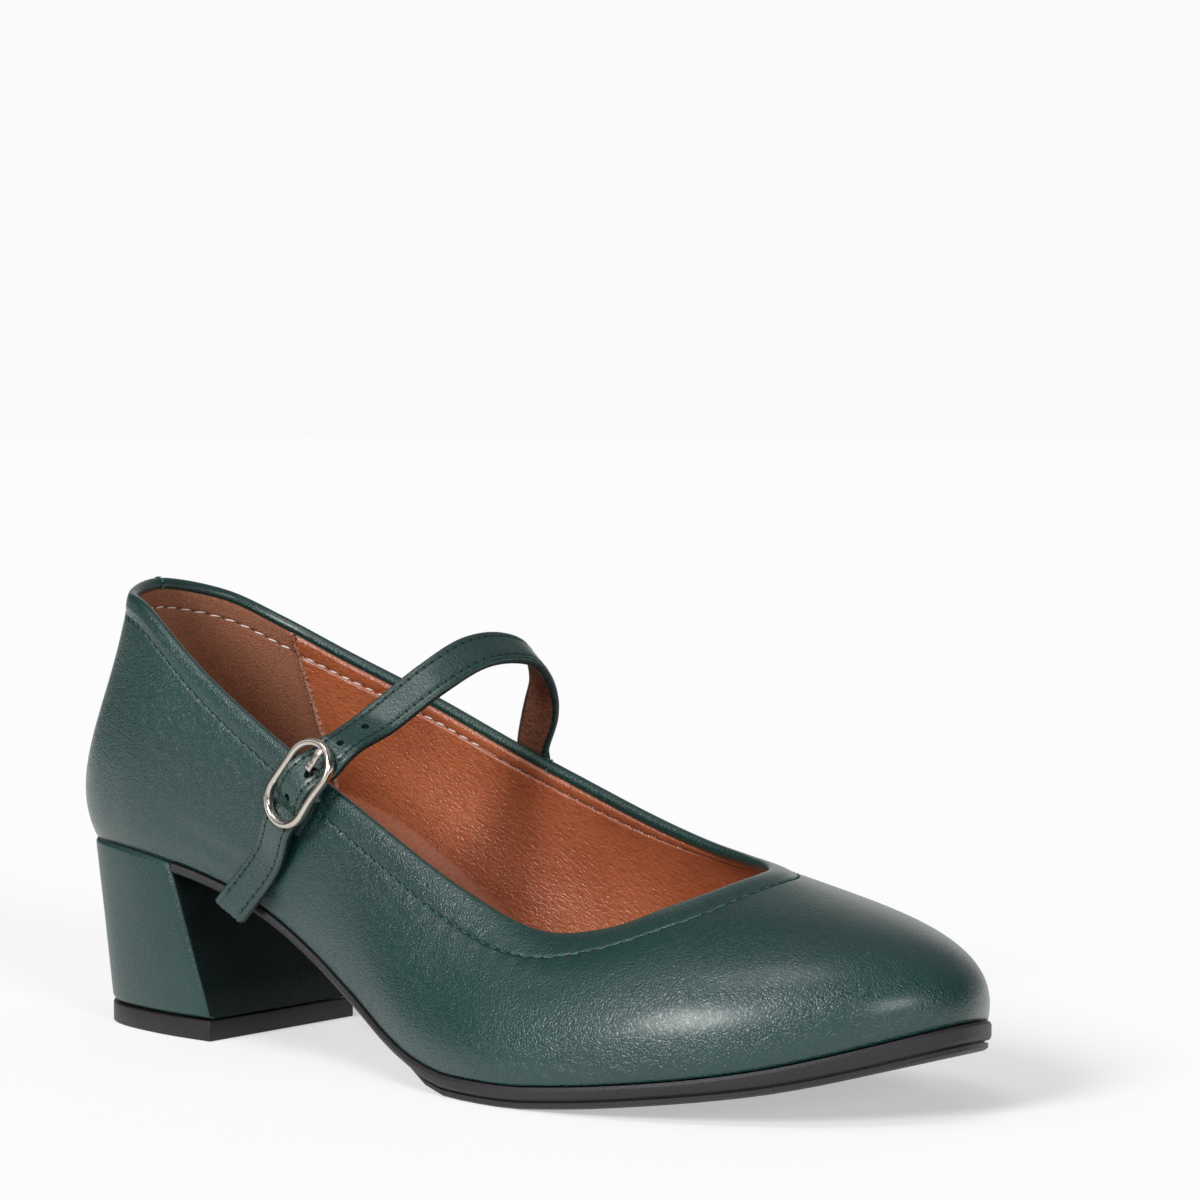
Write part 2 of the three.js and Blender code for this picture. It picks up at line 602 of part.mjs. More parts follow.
// Keeper: an elastic web folded round the centre bar, with a slit for the prong's eye, and both
// layers sewn to the outer wall below it.
function makeElasticKeeper() {
  const inner = centreBarRadius + fitGap;
  const outer = inner + keeperThickness;
  const seat = wallAt(buckleSection - keeperBackStep, keeperFootHeight);
  const wallDrop = seat.applyMatrix4(buckleFrame.clone().invert()).z;
  const endLow = wallDrop + 1.5 * fitGap;
  const endHigh = endLow + 2 * keeperThickness;
  const outlineShape = new THREE.Shape();
  const foldEnd = 0.62 * Math.PI;
  const half = 0.45;
  outlineShape.moveTo(-keeperLength, endLow);
  outlineShape.lineTo(-keeperLength * half, (endLow + barHeight - outer) / 2);
  outlineShape.lineTo(0, barHeight - outer);
  outlineShape.absarc(0, barHeight, outer, -Math.PI / 2, foldEnd, false);
  outlineShape.lineTo(-keeperLength * half, (endHigh + barHeight + inner) / 2);
  outlineShape.lineTo(-keeperLength, endHigh);
  outlineShape.closePath();
  outlineShape.holes.push(new THREE.Path().absarc(0, barHeight, inner, 0, 2 * Math.PI, true));
  const web = new THREE.ExtrudeGeometry(outlineShape, { depth: keeperWidth, bevelEnabled: false, curveSegments: 10 });
  // The outline is drawn along and out; the web's width runs across the frame.
  web.rotateX(Math.PI / 2);
  web.translate(0, keeperWidth / 2, 0);
  const slitBack = prongEyeRadius + prongEyeWire + 2 * fitGap;
  const slit = new THREE.BoxGeometry(4 * outer, prongSlit, 4 * outer);
  slit.translate(2 * outer - slitBack, 0, barHeight);
  const solid = solidFrom(web).subtract(solidFrom(slit));
  const geometry = geometryFrom(solid);
  geometry.applyMatrix4(buckleFrame);
  return namedMesh('elastic_keeper', geometry, elasticWeb);
}

const shoe = new THREE.Group();
shoe.add(makeUpper(), makeInsole(), makeOutsole(), makeHeelBlock(), makeTopLift());
shoe.add(makeStrap(), makeBuckleFrame(), makeBuckleProng(), makeElasticKeeper());

const box = new THREE.Box3().setFromObject(shoe);
const middle = box.getCenter(new THREE.Vector3());
shoe.position.set(-middle.x, -middle.y, -box.min.z);

const part = new THREE.Group();
part.add(shoe);
export default part;
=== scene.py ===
import math

import bpy
import numpy as np
from mathutils import Matrix, Vector


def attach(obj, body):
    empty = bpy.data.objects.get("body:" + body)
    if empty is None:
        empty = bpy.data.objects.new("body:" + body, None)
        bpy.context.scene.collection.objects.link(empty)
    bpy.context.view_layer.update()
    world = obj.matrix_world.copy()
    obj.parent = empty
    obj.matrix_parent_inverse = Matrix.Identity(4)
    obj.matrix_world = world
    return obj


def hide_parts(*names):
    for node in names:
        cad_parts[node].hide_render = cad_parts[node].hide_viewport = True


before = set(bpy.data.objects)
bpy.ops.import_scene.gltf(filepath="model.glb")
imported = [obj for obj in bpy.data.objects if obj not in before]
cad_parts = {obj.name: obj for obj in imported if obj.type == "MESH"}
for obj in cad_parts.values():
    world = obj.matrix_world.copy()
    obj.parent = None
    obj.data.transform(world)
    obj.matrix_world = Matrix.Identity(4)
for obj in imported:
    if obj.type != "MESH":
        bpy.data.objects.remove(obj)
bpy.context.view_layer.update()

# Studio: a white sweep of paper with softboxes in front, at the toe, at the left and overhead, and
# grey cards round them. The camera stands at the toe's outer side, low, with a long lens.
MM = 0.001
view = bpy.context.scene
view.view_settings.view_transform = "Standard"
view.view_settings.look = "None"

camera_data = bpy.data.cameras.new("camera")
camera_data.lens = 114.54
camera_data.sensor_width = 36.0
camera_data.clip_start = 0.05
camera = bpy.data.objects.new("camera", camera_data)
camera.location = (0.57386, -0.63216, 0.14308)
camera.rotation_euler = (math.radians(87.38), 0.0, math.radians(40.6))
view.collection.objects.link(camera)
view.camera = camera


def new_material(name):
    """An empty node tree with its Principled shader and output."""
    material = bpy.data.materials.new(name)
    material.use_nodes = True
    tree = material.node_tree
    return material, tree, tree.nodes["Principled BSDF"]


def feed(tree, node, inputs):
    """Set a node's inputs, each to a value or to the output of another node."""
    for key, value in inputs.items():
        if isinstance(value, bpy.types.NodeSocket):
            tree.links.new(value, node.inputs[key])
        else:
            node.inputs[key].default_value = value


def new_node(tree, kind, inputs=None, **settings):
    node = tree.nodes.new("ShaderNode" + kind)
    for key, value in settings.items():
        setattr(node, key, value)
    feed(tree, node, inputs or {})
    return node


def noise(tree, scale, detail, roughness, vector):
    return new_node(tree, "TexNoise", {"Scale": scale, "Detail": detail, "Roughness": roughness,
                                       "Vector": vector})


def mix(tree, mode, first, second, share=1.0):
    node = new_node(tree, "MixRGB", {"Fac": share, "Color1": first, "Color2": second},
                    blend_type=mode)
    return node.outputs["Color"]


def grey(value):
    return (value, value, value)


def shaded(colour, share):
    return tuple(share * part for part in colour)


def ramp(tree, source, stops):
    node = new_node(tree, "ValToRGB", {"Fac": source})
    elements = node.color_ramp.elements
    while len(elements) < len(stops):
        elements.new(0.5)
    for element, (place, colour) in zip(elements, stops):
        element.position = place
        element.color = (*colour, 1.0)
    return node.outputs["Color"]


def object_coordinates(tree, scale=(1.0, 1.0, 1.0), turn=0.0, kind="POINT"):
    """Places on the object, stretched by scale and turned about Y by an angle in degrees."""
    coordinates = new_node(tree, "TexCoord")
    mapping = new_node(tree, "Mapping", vector_type=kind)
    feed(tree, mapping, {"Rotation": (0.0, math.radians(turn), 0.0), "Scale": scale,
                         "Vector": coordinates.outputs["Object"]})
    return mapping.outputs["Vector"]


def sum_of(tree, first, second, weight):
    node = new_node(tree, "Math", {0: second, 1: weight, 2: first}, operation="MULTIPLY_ADD")
    return node.outputs["Value"]


def bumped(tree, shader, height, strength, depth, invert=False):
    """Relief in millimetres on a shader from a height value."""
    bump = new_node(tree, "Bump", {"Strength": strength, "Distance": depth * MM, "Height": height},
                    invert=invert)
    feed(tree, shader, {"Normal": bump.outputs["Normal"]})


def deselect_all():
    if bpy.context.object and bpy.context.object.mode != "OBJECT":
        bpy.ops.object.mode_set(mode="OBJECT")
    bpy.ops.object.select_all(action="DESELECT")


# White backdrop behind the shoe, grey cards in front, darker overhead and at the toe's side.
world = bpy.data.worlds.new("studio_cards")
world.use_nodes = True
world_tree = world.node_tree
world_place = new_node(world_tree, "TexCoord")
world_way = new_node(world_tree, "SeparateXYZ", {"Vector": world_place.outputs["Generated"]})


def card_tone(axis, stops):
    """Brightness of the cards along one axis of the room, from -1 to 1."""
    spread = new_node(world_tree, "MapRange",
                      {"From Min": -1.0, "Value": world_way.outputs[axis]})
    return ramp(world_tree, spread.outputs["Result"],
                [(0.5 + 0.5 * place, grey(tone)) for place, tone in stops])


white = card_tone("X", ((-1.0, 1.0), (1.0, 1.0)))
front_cards = card_tone("X", ((-0.86, 0.08), (-0.50, 0.46), (0.10, 0.36), (0.60, 0.10)))
behind = mix(world_tree, "MULTIPLY", card_tone("Y", ((0.46, 0.0), (0.58, 1.0))),
             card_tone("X", ((-0.42, 1.0), (-0.20, 0.0))))
overhead = card_tone("Z", ((0.12, 0.956), (0.62, 0.30)))
walls = mix(world_tree, "MIX", front_cards, white, behind)
feed(world_tree, world_tree.nodes["Background"],
     {"Color": mix(world_tree, "MULTIPLY", walls, overhead)})
view.world = world


def lamp(name, toward, strength, spread):
    """A far softbox: light that comes from one side, spread over an angle in degrees."""
    data = bpy.data.lights.new(name, "SUN")
    data.energy = strength
    data.angle = math.radians(spread)
    light = bpy.data.objects.new(name, data)
    light.rotation_euler = Vector(toward).to_track_quat("Z", "Y").to_euler()
    view.collection.objects.link(light)


lamp("front_softbox", (0.0, -0.87, 0.49), strength=2.50, spread=20.0)
lamp("left_softbox", (-0.52, -0.50, 0.69), 0.20, 40.0)
lamp("top_softbox", (0.0, -0.33, 0.93), 0.55, 22.0)
lamp("toe_softbox", (0.87, -0.37, 0.32), 0.85, 16.0)
lamp("overhead_softbox", (0.25, 0.25, 0.93), 0.25, 70.0)

deselect_all()
bpy.ops.mesh.primitive_grid_add(x_subdivisions=4, y_subdivisions=4, size=60.0)
floor = bpy.context.object
floor.name = "paper_floor"
paper, paper_tree, paper_shader = new_material("studio_paper")
feed(paper_tree, paper_shader, {
    "Base Color": (*grey(0.6), 1.0), "Roughness": 1.0, "Specular IOR Level": 0.0,
    "Emission Color": (*grey(1.0), 1.0), "Emission Strength": 0.445})
floor.data.materials.append(paper)

# Upper: one lasted shell of fine-grained calf leather, lined with brown suede at the heel and with
# smooth tan leather ahead of it. The topline is bound with a rolled strip and stitched below.
HEEL_BACK = -125.38
HEEL_MIDDLE = 2.89
SHOE_LENGTH = 250.0
BALL_WIDTH = 84.0
COLLAR_HEIGHT = 106.0
HEEL_HEIGHT = 45.5
TOE_SPRING = 12.9
FOREFOOT_SOLE = 5.0
WALL = 2.0
BINDING_HEIGHT = 2.6

# The last round the shoe: foot x and y, top x, y and z, swell and its height, bend and its depth.
LAST_SECTIONS = np.array([
    (0.016, 0.000, 0.055, 0.000, 1.000, 0.118, 0.28, 0.040, 0.42),
    (0.048, -0.228, 0.087, -0.206, 0.979, 0.098, 0.27, 0.036, 0.42),
    (0.120, -0.316, 0.145, -0.298, 0.945, 0.068, 0.26, 0.030, 0.40),
    (0.220, -0.327, 0.235, -0.325, 0.802, 0.048, 0.28, 0.022, 0.38),
    (0.328, -0.330, 0.345, -0.335, 0.655, 0.036, 0.30, 0.020, 0.35),
    (0.436, -0.380, 0.459, -0.345, 0.518, 0.030, 0.31, 0.032, 0.32),
    (0.540, -0.478, 0.559, -0.346, 0.406, 0.028, 0.35, 0.056, 0.26),
    (0.640, -0.535, 0.645, -0.324, 0.337, 0.026, 0.42, 0.100, 0.14),
    (0.738, -0.508, 0.703, -0.261, 0.347, 0.029, 0.47, 0.150, 0.09),
    (0.832, -0.420, 0.744, -0.181, 0.389, 0.034, 0.50, 0.200, 0.11),
    (0.909, -0.290, 0.768, -0.090, 0.419, 0.040, 0.54, 0.270, 0.17),
    (0.967, -0.125, 0.781, -0.014, 0.439, 0.046, 0.59, 0.320, 0.23),
    (0.997, 0.060, 0.784, 0.060, 0.449, 0.048, 0.62, 0.330, 0.27),
    (0.970, 0.276, 0.773, 0.143, 0.452, 0.046, 0.60, 0.310, 0.28),
    (0.912, 0.413, 0.749, 0.208, 0.455, 0.040, 0.55, 0.260, 0.24),
    (0.834, 0.463, 0.713, 0.256, 0.462, 0.032, 0.50, 0.190, 0.18),
    (0.738, 0.461, 0.659, 0.298, 0.481, 0.028, 0.46, 0.120, 0.16),
    (0.640, 0.435, 0.587, 0.331, 0.522, 0.024, 0.40, 0.068, 0.20),
    (0.540, 0.385, 0.507, 0.351, 0.579, 0.024, 0.34, 0.040, 0.26),
    (0.436, 0.336, 0.415, 0.357, 0.652, 0.028, 0.31, 0.024, 0.32),
    (0.328, 0.314, 0.316, 0.350, 0.741, 0.034, 0.30, 0.018, 0.35),
    (0.220, 0.319, 0.215, 0.331, 0.826, 0.046, 0.28, 0.022, 0.38),
    (0.120, 0.312, 0.132, 0.296, 0.905, 0.066, 0.26, 0.030, 0.40),
    (0.048, 0.221, 0.079, 0.202, 0.968, 0.102, 0.25, 0.036, 0.42),
])
SECTION_COUNT = len(LAST_SECTIONS)

# Profile of the seat: share of the length, share of the heel's rise, share of the toe spring.
SEAT_PROFILE = np.array([
    (0.00, 1.000, 0.00), (0.12, 0.963, 0.00), (0.20, 0.889, 0.00), (0.26, 0.805, 0.00),
    (0.32, 0.668, 0.00), (0.38, 0.495, 0.00), (0.44, 0.305, 0.00), (0.50, 0.138, 0.00),
    (0.56, 0.028, 0.00), (0.60, 0.000, 0.00), (0.66, 0.000, 0.00), (0.72, 0.000, 0.08),
    (0.80, 0.000, 0.26), (0.88, 0.000, 0.49), (0.92, 0.000, 0.66), (0.96, 0.000, 0.88),
    (1.01, 0.000, 1.20),
])


def smooth_step(low, high, value):
    t = np.clip((value - low) / (high - low), 0.0, 1.0)
    return t * t * (3 - 2 * t)


def seat_profile(column, along):
    """One column of the seat profile without overshoot between its rows."""
    xs, ys = SEAT_PROFILE[:, 0], SEAT_PROFILE[:, column]
    slopes = np.diff(ys) / np.diff(xs)
    before = np.concatenate([slopes[:1], slopes])
    after = np.concatenate([slopes, slopes[-1:]])
    product = before * after
    tangents = np.where(product > 0, 2 * product / np.where(product > 0, before + after, 1.0), 0.0)
    k = np.clip(np.searchsorted(xs, along, side="left") - 1, 0, len(xs) - 2)
    span = xs[k + 1] - xs[k]
    t = np.clip((along - xs[k]) / span, 0.0, 1.0)
    return ((2 * t**3 - 3 * t**2 + 1) * ys[k] + (t**3 - 2 * t**2 + t) * span * tangents[k]
            + (3 * t**2 - 2 * t**3) * ys[k + 1] + (t**3 - t**2) * span * tangents[k + 1])


def seat_height(x):
    """Height of the feather line at x, measured from the shoe's back, all in millimetres."""
    along = np.asarray(x, float) / SHOE_LENGTH
    toe = 1.1 * smooth_step(0.8, 1.0, along)
    return (FOREFOOT_SOLE + toe + seat_profile(1, along) * (HEEL_HEIGHT - FOREFOOT_SOLE)
            + seat_profile(2, along) * TOE_SPRING)


def section_value(column, s):
    s = np.mod(np.asarray(s, float), SECTION_COUNT)
    k = np.floor(s).astype(int)
    t = s - k
    a, b, c, d = [LAST_SECTIONS[(k + step) % SECTION_COUNT, column] for step in (-1, 0, 1, 2)]
    return b + 0.5 * t * (c - a + t * (2 * a - 5 * b + 4 * c - d + t * (3 * (b - c) + d - a)))


def plan(first, s):
    along, across = section_value(first, s), section_value(first + 1, s)
    return np.stack([along * SHOE_LENGTH, across * BALL_WIDTH], -1)


def plan_normal(first, s):
    step = 0.05
    run = plan(first, np.asarray(s) + step) - plan(first, np.asarray(s) - step)
    run /= np.linalg.norm(run, axis=-1, keepdims=True)
    return np.stack([run[..., 1], -run[..., 0]], -1)


def at_height(flat, z):
    return np.concatenate([flat, z[..., None]], -1)


def wall_handles(s):
    """The four control points of the wall's curve at s, in millimetres from the shoe's back."""
    s = np.asarray(s, float)
    foot_plan, top_plan = plan(0, s), plan(2, s)
    foot_z = seat_height(foot_plan[..., 0])
    top_z = section_value(4, s) * COLLAR_HEIGHT
    height = top_z - foot_z
    foot_out = plan_normal(0, s) * (section_value(5, s) * BALL_WIDTH)[..., None]
    top_out = plan_normal(2, s) * (section_value(7, s) * BALL_WIDTH)[..., None]
    low_z, high_z = foot_z + height * section_value(6, s), top_z - height * section_value(8, s)
    return (at_height(foot_plan, foot_z), at_height(foot_plan + foot_out, low_z),
            at_height(top_plan + top_out, high_z), at_height(top_plan, top_z))


def wall_at(s, t):
    foot, low, high, top = wall_handles(s)
    t = np.asarray(t, float)[..., None]
    return (1 - t)**3 * foot + 3 * (1 - t)**2 * t * low + 3 * (1 - t) * t**2 * high + t**3 * top


def wall_tangent(s, t):
    foot, low, high, top = wall_handles(s)
    t = np.clip(np.asarray(t, float), 0.02, 0.98)[..., None]
    return 3 * (1 - t)**2 * (low - foot) + 6 * (1 - t) * t * (high - low) + 3 * t**2 * (top - high)


def unit(vectors):
    return vectors / np.linalg.norm(vectors, axis=-1, keepdims=True)


def wall_normal(s, t):
    s = np.asarray(s, float)
    step = 0.02
    round_way = wall_at(s + step, t) - wall_at(s - step, t)
    return unit(np.cross(round_way, wall_tangent(s, t)))


def wall_lengths(s, samples=81):
    """Running length of each wall curve from the feather line up, with the t of each step."""
    t = np.linspace(0.0, 1.0, samples)
    points = wall_at(np.repeat(np.asarray(s, float)[:, None], samples, 1),
                     np.repeat(t[None], len(s), 0))
    steps = np.linalg.norm(np.diff(points, axis=1), axis=-1)
    return t, np.concatenate([np.zeros((len(s), 1)), np.cumsum(steps, 1)], 1)


def below_topline(s, distance):
    """The t of the point that lies a distance below the topline, measured along the wall."""
    s = np.atleast_1d(np.asarray(s, float))
    t, lengths = wall_lengths(s)
    distance = np.broadcast_to(np.asarray(distance, float), s.shape)
    return np.array([np.interp(row[-1] - gap, row, t) for row, gap in zip(lengths, distance)])


def in_place(points):
    """Millimetres from the shoe's back to metres in the row frame."""
    return (np.asarray(points, float) + (HEEL_BACK, HEEL_MIDDLE, 0.0)) * MM


def grid_piece(name, points, close_rows=False, close_columns=False):
    """A grid primitive whose vertices are laid on a sheet of points, rows first. Rows or columns
    that close on themselves get their first points repeated at the end, for a later merge of the
    doubles.
    Returns the object and the row and column of each face, read before the merge."""
    rows, columns = points.shape[:2]
    if close_rows:
        points = np.concatenate([points, points[:1]], 0)
    if close_columns:
        points = np.concatenate([points, points[:, :1]], 1)
    deselect_all()
    bpy.ops.mesh.primitive_grid_add(
        x_subdivisions=points.shape[1] - 1, y_subdivisions=points.shape[0] - 1, size=1.0)
    piece = bpy.context.object
    piece.name = name
    piece.data.name = name
    piece.data.vertices.foreach_set("co", np.ascontiguousarray(points, dtype=np.float32).ravel())
    face_rows = np.repeat(np.arange(points.shape[0] - 1), points.shape[1] - 1)
    face_columns = np.tile(np.arange(points.shape[1] - 1), points.shape[0] - 1)
    piece.data.update()
    return piece, face_rows, face_columns


def pick(piece):
    """Select one piece alone and make it active."""
    deselect_all()
    piece.select_set(True)
    bpy.context.view_layer.objects.active = piece


def edited(piece, *steps, start="SELECT"):
    """Edit-mode operators in turn, begun with all or none of the piece's mesh selected."""
    pick(piece)
    bpy.ops.object.mode_set(mode="EDIT")
    bpy.ops.mesh.select_all(action=start)
    for step in steps:
        step()
    bpy.ops.object.mode_set(mode="OBJECT")


def merge_doubles(piece, distance=1e-6):
    edited(piece, lambda: bpy.ops.mesh.remove_doubles(threshold=distance))


def outward(piece):
    edited(piece, lambda: bpy.ops.mesh.normals_make_consistent(inside=False))


def capped(piece):
    """Close both open ends of a swept piece with one face each."""
    edited(piece, bpy.ops.mesh.select_non_manifold, bpy.ops.mesh.edge_face_add, start="DESELECT")


def smooth(piece, angle=None):
    pick(piece)
    if angle is None:
        bpy.ops.object.shade_smooth()
    else:
        bpy.ops.object.shade_smooth_by_angle(angle=math.radians(angle))


def running_length(points):
    steps = np.linalg.norm(np.diff(points, axis=0), axis=1)
    return np.concatenate([[0.0], np.cumsum(steps)])


UPPER_COLUMNS = 560
# Distance of the stitch line below the topline: section, millimetres.
STITCH_LINE = np.array([
    (0.0, 5.2), (1.5, 5.4), (3.0, 6.3), (5.0, 7.3), (6.5, 8.0), (8.0, 9.4), (9.0, 9.8), (10.0, 8.3),
    (11.0, 6.9), (12.0, 6.2), (13.0, 6.4), (15.0, 7.0), (18.0, 6.8), (21.0, 6.2), (24.0, 5.2)])
LINING_STITCH_LINE = np.array([
    (0.0, 6.8), (2.0, 6.9), (5.0, 5.6), (12.0, 5.4), (17.0, 5.4), (20.0, 5.6), (21.8, 6.9),
    (24.0, 6.8)])
# Where the suede heel lining ends, outer and inner side, at the topline, and how it slants down.
SUEDE_END_OUTER, SUEDE_END_INNER, SUEDE_SLANT = 2.12, 21.90, 0.86
columns = np.arange(UPPER_COLUMNS) * SECTION_COUNT / UPPER_COLUMNS
topline_steps = wall_at(np.append(columns, SECTION_COUNT), np.ones(UPPER_COLUMNS + 1))
topline_places = running_length(topline_steps)[:-1]


def stitch_depth(s, line=STITCH_LINE):
    return np.interp(np.mod(s, SECTION_COUNT), line[:, 0], line[:, 1])


def hollow(distance, middle, width, depth):
    """A soft trough across a distance."""
    return -depth * np.exp(-((distance - middle) / width)**2)


def soft_waves(points, pitch, seed):
    """Slow swell of the leather: a few plane waves in fixed random directions."""
    rng = np.random.default_rng(seed)
    total = np.zeros(points.shape[:-1])
    for _ in range(7):
        way = unit(rng.normal(size=3))
        pace = 2 * math.pi / (pitch * rng.uniform(0.7, 1.5))
        total += np.sin(points @ way * pace + rng.uniform(0, 6.28))
    return total / 7


# Creases listed: section and share of the wall's height at both ends, depth and width.
FLEX_CREASES = [
    (5.3, 0.66, 7.3, 0.40, 0.14, 4.2),
    (6.2, 0.70, 8.1, 0.46, 0.12, 3.8),
    (16.3, 0.70, 15.4, 0.42, 0.13, 4.2),
    (17.4, 0.72, 16.4, 0.44, 0.11, 3.8),
    (2.4, 0.22, 4.4, 0.16, 0.20, 3.0),
    (21.5, 0.20, 19.8, 0.16, 0.18, 3.0),
]


def crease_relief(s, share):
    relief = np.zeros(np.broadcast(s, share).shape)
    for s0, h0, s1, h1, depth, width in FLEX_CREASES:
        along = np.clip((s - s0) / (s1 - s0), 0.0, 1.0)
        middle = h0 + (h1 - h0) * along
        fade = np.sin(np.pi * along)
        gap = (share - middle) * 55.0
        trough = hollow(gap, 0.0, width, depth)
        relief += fade * (trough + hollow(gap, 1.7 * width, 1.2 * width, -0.6 * depth))
    return relief


# 1 on the tan lining, 0 on the suede of the heel; the inner wall's columns lean with the seam.
on_tan = (smooth_step(SUEDE_END_OUTER - 0.03, SUEDE_END_OUTER + 0.03, columns)
          * (1.0 - smooth_step(SUEDE_END_INNER - 0.03, SUEDE_END_INNER + 0.03, columns)))


def leaning(s, share):
    """Section at a share of the wall's height for a column of the lining near the slanted seam."""
    return s + SUEDE_SLANT * (1.0 - share) * (np.exp(-((s - SUEDE_END_OUTER) / 1.5)**2)
                                              - np.exp(-((s - SUEDE_END_INNER) / 1.5)**2))


def full_length(s):
    return wall_lengths(s)[1][:, -1]


def wall_place(s, below):
    t = below_topline(s, below)
    return wall_at(s, t), wall_normal(s, t)


SEAM_OFFSETS = (4.6, 3.6, 2.8, 2.2, 1.7, 1.3, 1.0, 0.78, 0.6, 0.45, 0.33, 0.22, 0.11, 0.0,
                -0.11, -0.22, -0.33, -0.45, -0.6, -0.78, -1.0, -1.3)
outer_seam = stitch_depth(columns)
inner_seam = stitch_depth(columns, LINING_STITCH_LINE)
wall_length = full_length(columns)
OUTER_ROWS = 44
LINING_ROWS = 40
outer_below = [wall_length - share * (wall_length - outer_seam - SEAM_OFFSETS[0] - 1.2)
               for share in np.linspace(0, 1, OUTER_ROWS)]
seam_row = len(outer_below) + SEAM_OFFSETS.index(0.0)
outer_below += [outer_seam + offset for offset in SEAM_OFFSETS]
outer_below += [outer_seam - 1.3 + (4.5 - outer_seam) * share for share in (0.35, 0.7, 1.0)]

PUCKER_PITCH = 5.3
TOE_SECTION = 12.0
EASED_COLUMNS = 8
rows = []
for below in outer_below:
    base, normal = wall_place(columns, below)
    share = 1.0 - below / wall_length
    relief = (hollow(below, outer_seam, width=0.40, depth=0.26)
              + hollow(below, outer_seam, width=1.6, depth=0.06))
    relief += hollow(below, 0.5 * outer_seam, 0.28 * outer_seam, -0.26)
    phase = 2 * math.pi * topline_places / PUCKER_PITCH + 1.6 * np.sin(topline_places / 17.0)
    pucker = 0.5 - 0.5 * np.cos(phase)
    pucker *= 0.22 + smooth_step(4.8, 6.0, columns) * (1.0 - smooth_step(10.2, 12.0, columns))
    relief += pucker * hollow(below, outer_seam + 0.5, 2.4, 0.13)
    calm = smooth_step(3.0, 12.0, below) * smooth_step(0.0, 6.0, wall_length - below)
    relief += 0.16 * soft_waves(base, pitch=46.0, seed=3) * calm
    relief += crease_relief(columns, share)
    row = base + normal * relief[:, None]
    # Sections meet with a slight break of curvature, which the tight round of the toe would show.
    eased = sum(np.roll(row, shift, 0) * (EASED_COLUMNS - abs(shift))
                for shift in range(1 - EASED_COLUMNS, EASED_COLUMNS)) / EASED_COLUMNS**2
    rows.append(row + (eased - row) * np.exp(-((columns - TOE_SECTION) / 2.0)**4)[:, None])
edge_relief = relief
for below, share, lower in [(2.6, 0.96, 0.0), (2.0, 0.84, 0.0), (1.45, 0.62, 0.0),
                            (0.95, 0.32, 0.0), (0.55, 0.08, 0.05)]:
    base, normal = wall_place(columns, below)
    rows.append(base + normal * (edge_relief * share - lower)[:, None])
binding_first = len(rows) - 1

# The binding rolls over the edge and inwards: distance out from the wall's face, then above it.
near_top = np.full(UPPER_COLUMNS, 0.98)
top_edge, edge_out = wall_at(columns, np.ones(UPPER_COLUMNS)), wall_normal(columns, near_top)
edge_up = unit(wall_tangent(columns, near_top))
for out, up in [(-0.17, -0.26), (-0.42, 0.03), (-0.76, 0.22), (-1.15, 0.27), (-1.55, 0.17),
                (-1.93, -0.08), (-2.24, -0.44), (-2.44, -0.86), (-2.53, -1.32), (-2.50, -1.76),
                (-2.36, -2.12), (-2.10, -2.34)]:
    rows.append(top_edge + edge_out * out + edge_up * up)
binding_last = len(rows) - 1
for below, depth, step in [(2.42, 2.04, 0.0), (2.50, 2.18, 0.10), (2.72, 2.30, 0.20),
                           (3.1, 2.38, 0.28), (3.6, 2.38, 0.28)]:
    base, normal = wall_place(columns, below)
    rows.append(base - normal * (depth + step * on_tan)[:, None])
LINING_START = 5.8
inner_offsets = [offset for offset in SEAM_OFFSETS[::-1] if offset > -1.25]
inner_below = [inner_seam + offset for offset in inner_offsets]
inner_below += [inner_seam + LINING_START + (wall_length - inner_seam - LINING_START) * share
                for share in np.linspace(0, 1, LINING_ROWS)]
lining_seam_row = len(rows) + inner_offsets.index(0.0)
for below in inner_below:
    share = 1.0 - below / wall_length
    s_row = leaning(columns, share)
    reach = below * full_length(s_row) / wall_length
    base, normal = wall_place(s_row, np.where(share > 0.75, below, reach))
    fade = smooth_step(0.0, 7.0, wall_length - below)
    depth = WALL + (0.14 + 0.28 * on_tan) * fade
    depth = depth - hollow(below, 0.62 * inner_seam, 0.26 * inner_seam, 0.20 + 0.16 * on_tan)
    depth = depth + hollow(below, inner_seam, 0.42, 0.34 + 0.22 * on_tan)
    depth = depth + 0.12 * fade * soft_waves(base, pitch=24.0, seed=8)
    rows.append(base - normal * depth[:, None])
rows[-1][:, 2] = rows[0][:, 2]
sheet = np.array(rows)

upper, face_rows, face_columns = grid_piece("leather_upper", in_place(sheet), True, True)
face_section = (face_columns + 0.5) * SECTION_COUNT / UPPER_COLUMNS
suede = (face_section < SUEDE_END_OUTER) | (face_section > SUEDE_END_INNER)
slot_of_face = np.where(face_rows < binding_first, 0,
                        np.where(face_rows < binding_last, 1, np.where(suede, 3, 2)))
slot_of_face = np.where(face_rows >= len(rows) - 1, 2, slot_of_face)


FOLD_STRETCH, FOLD_TURN = (3.4, 1.0, 1.0), 24.0


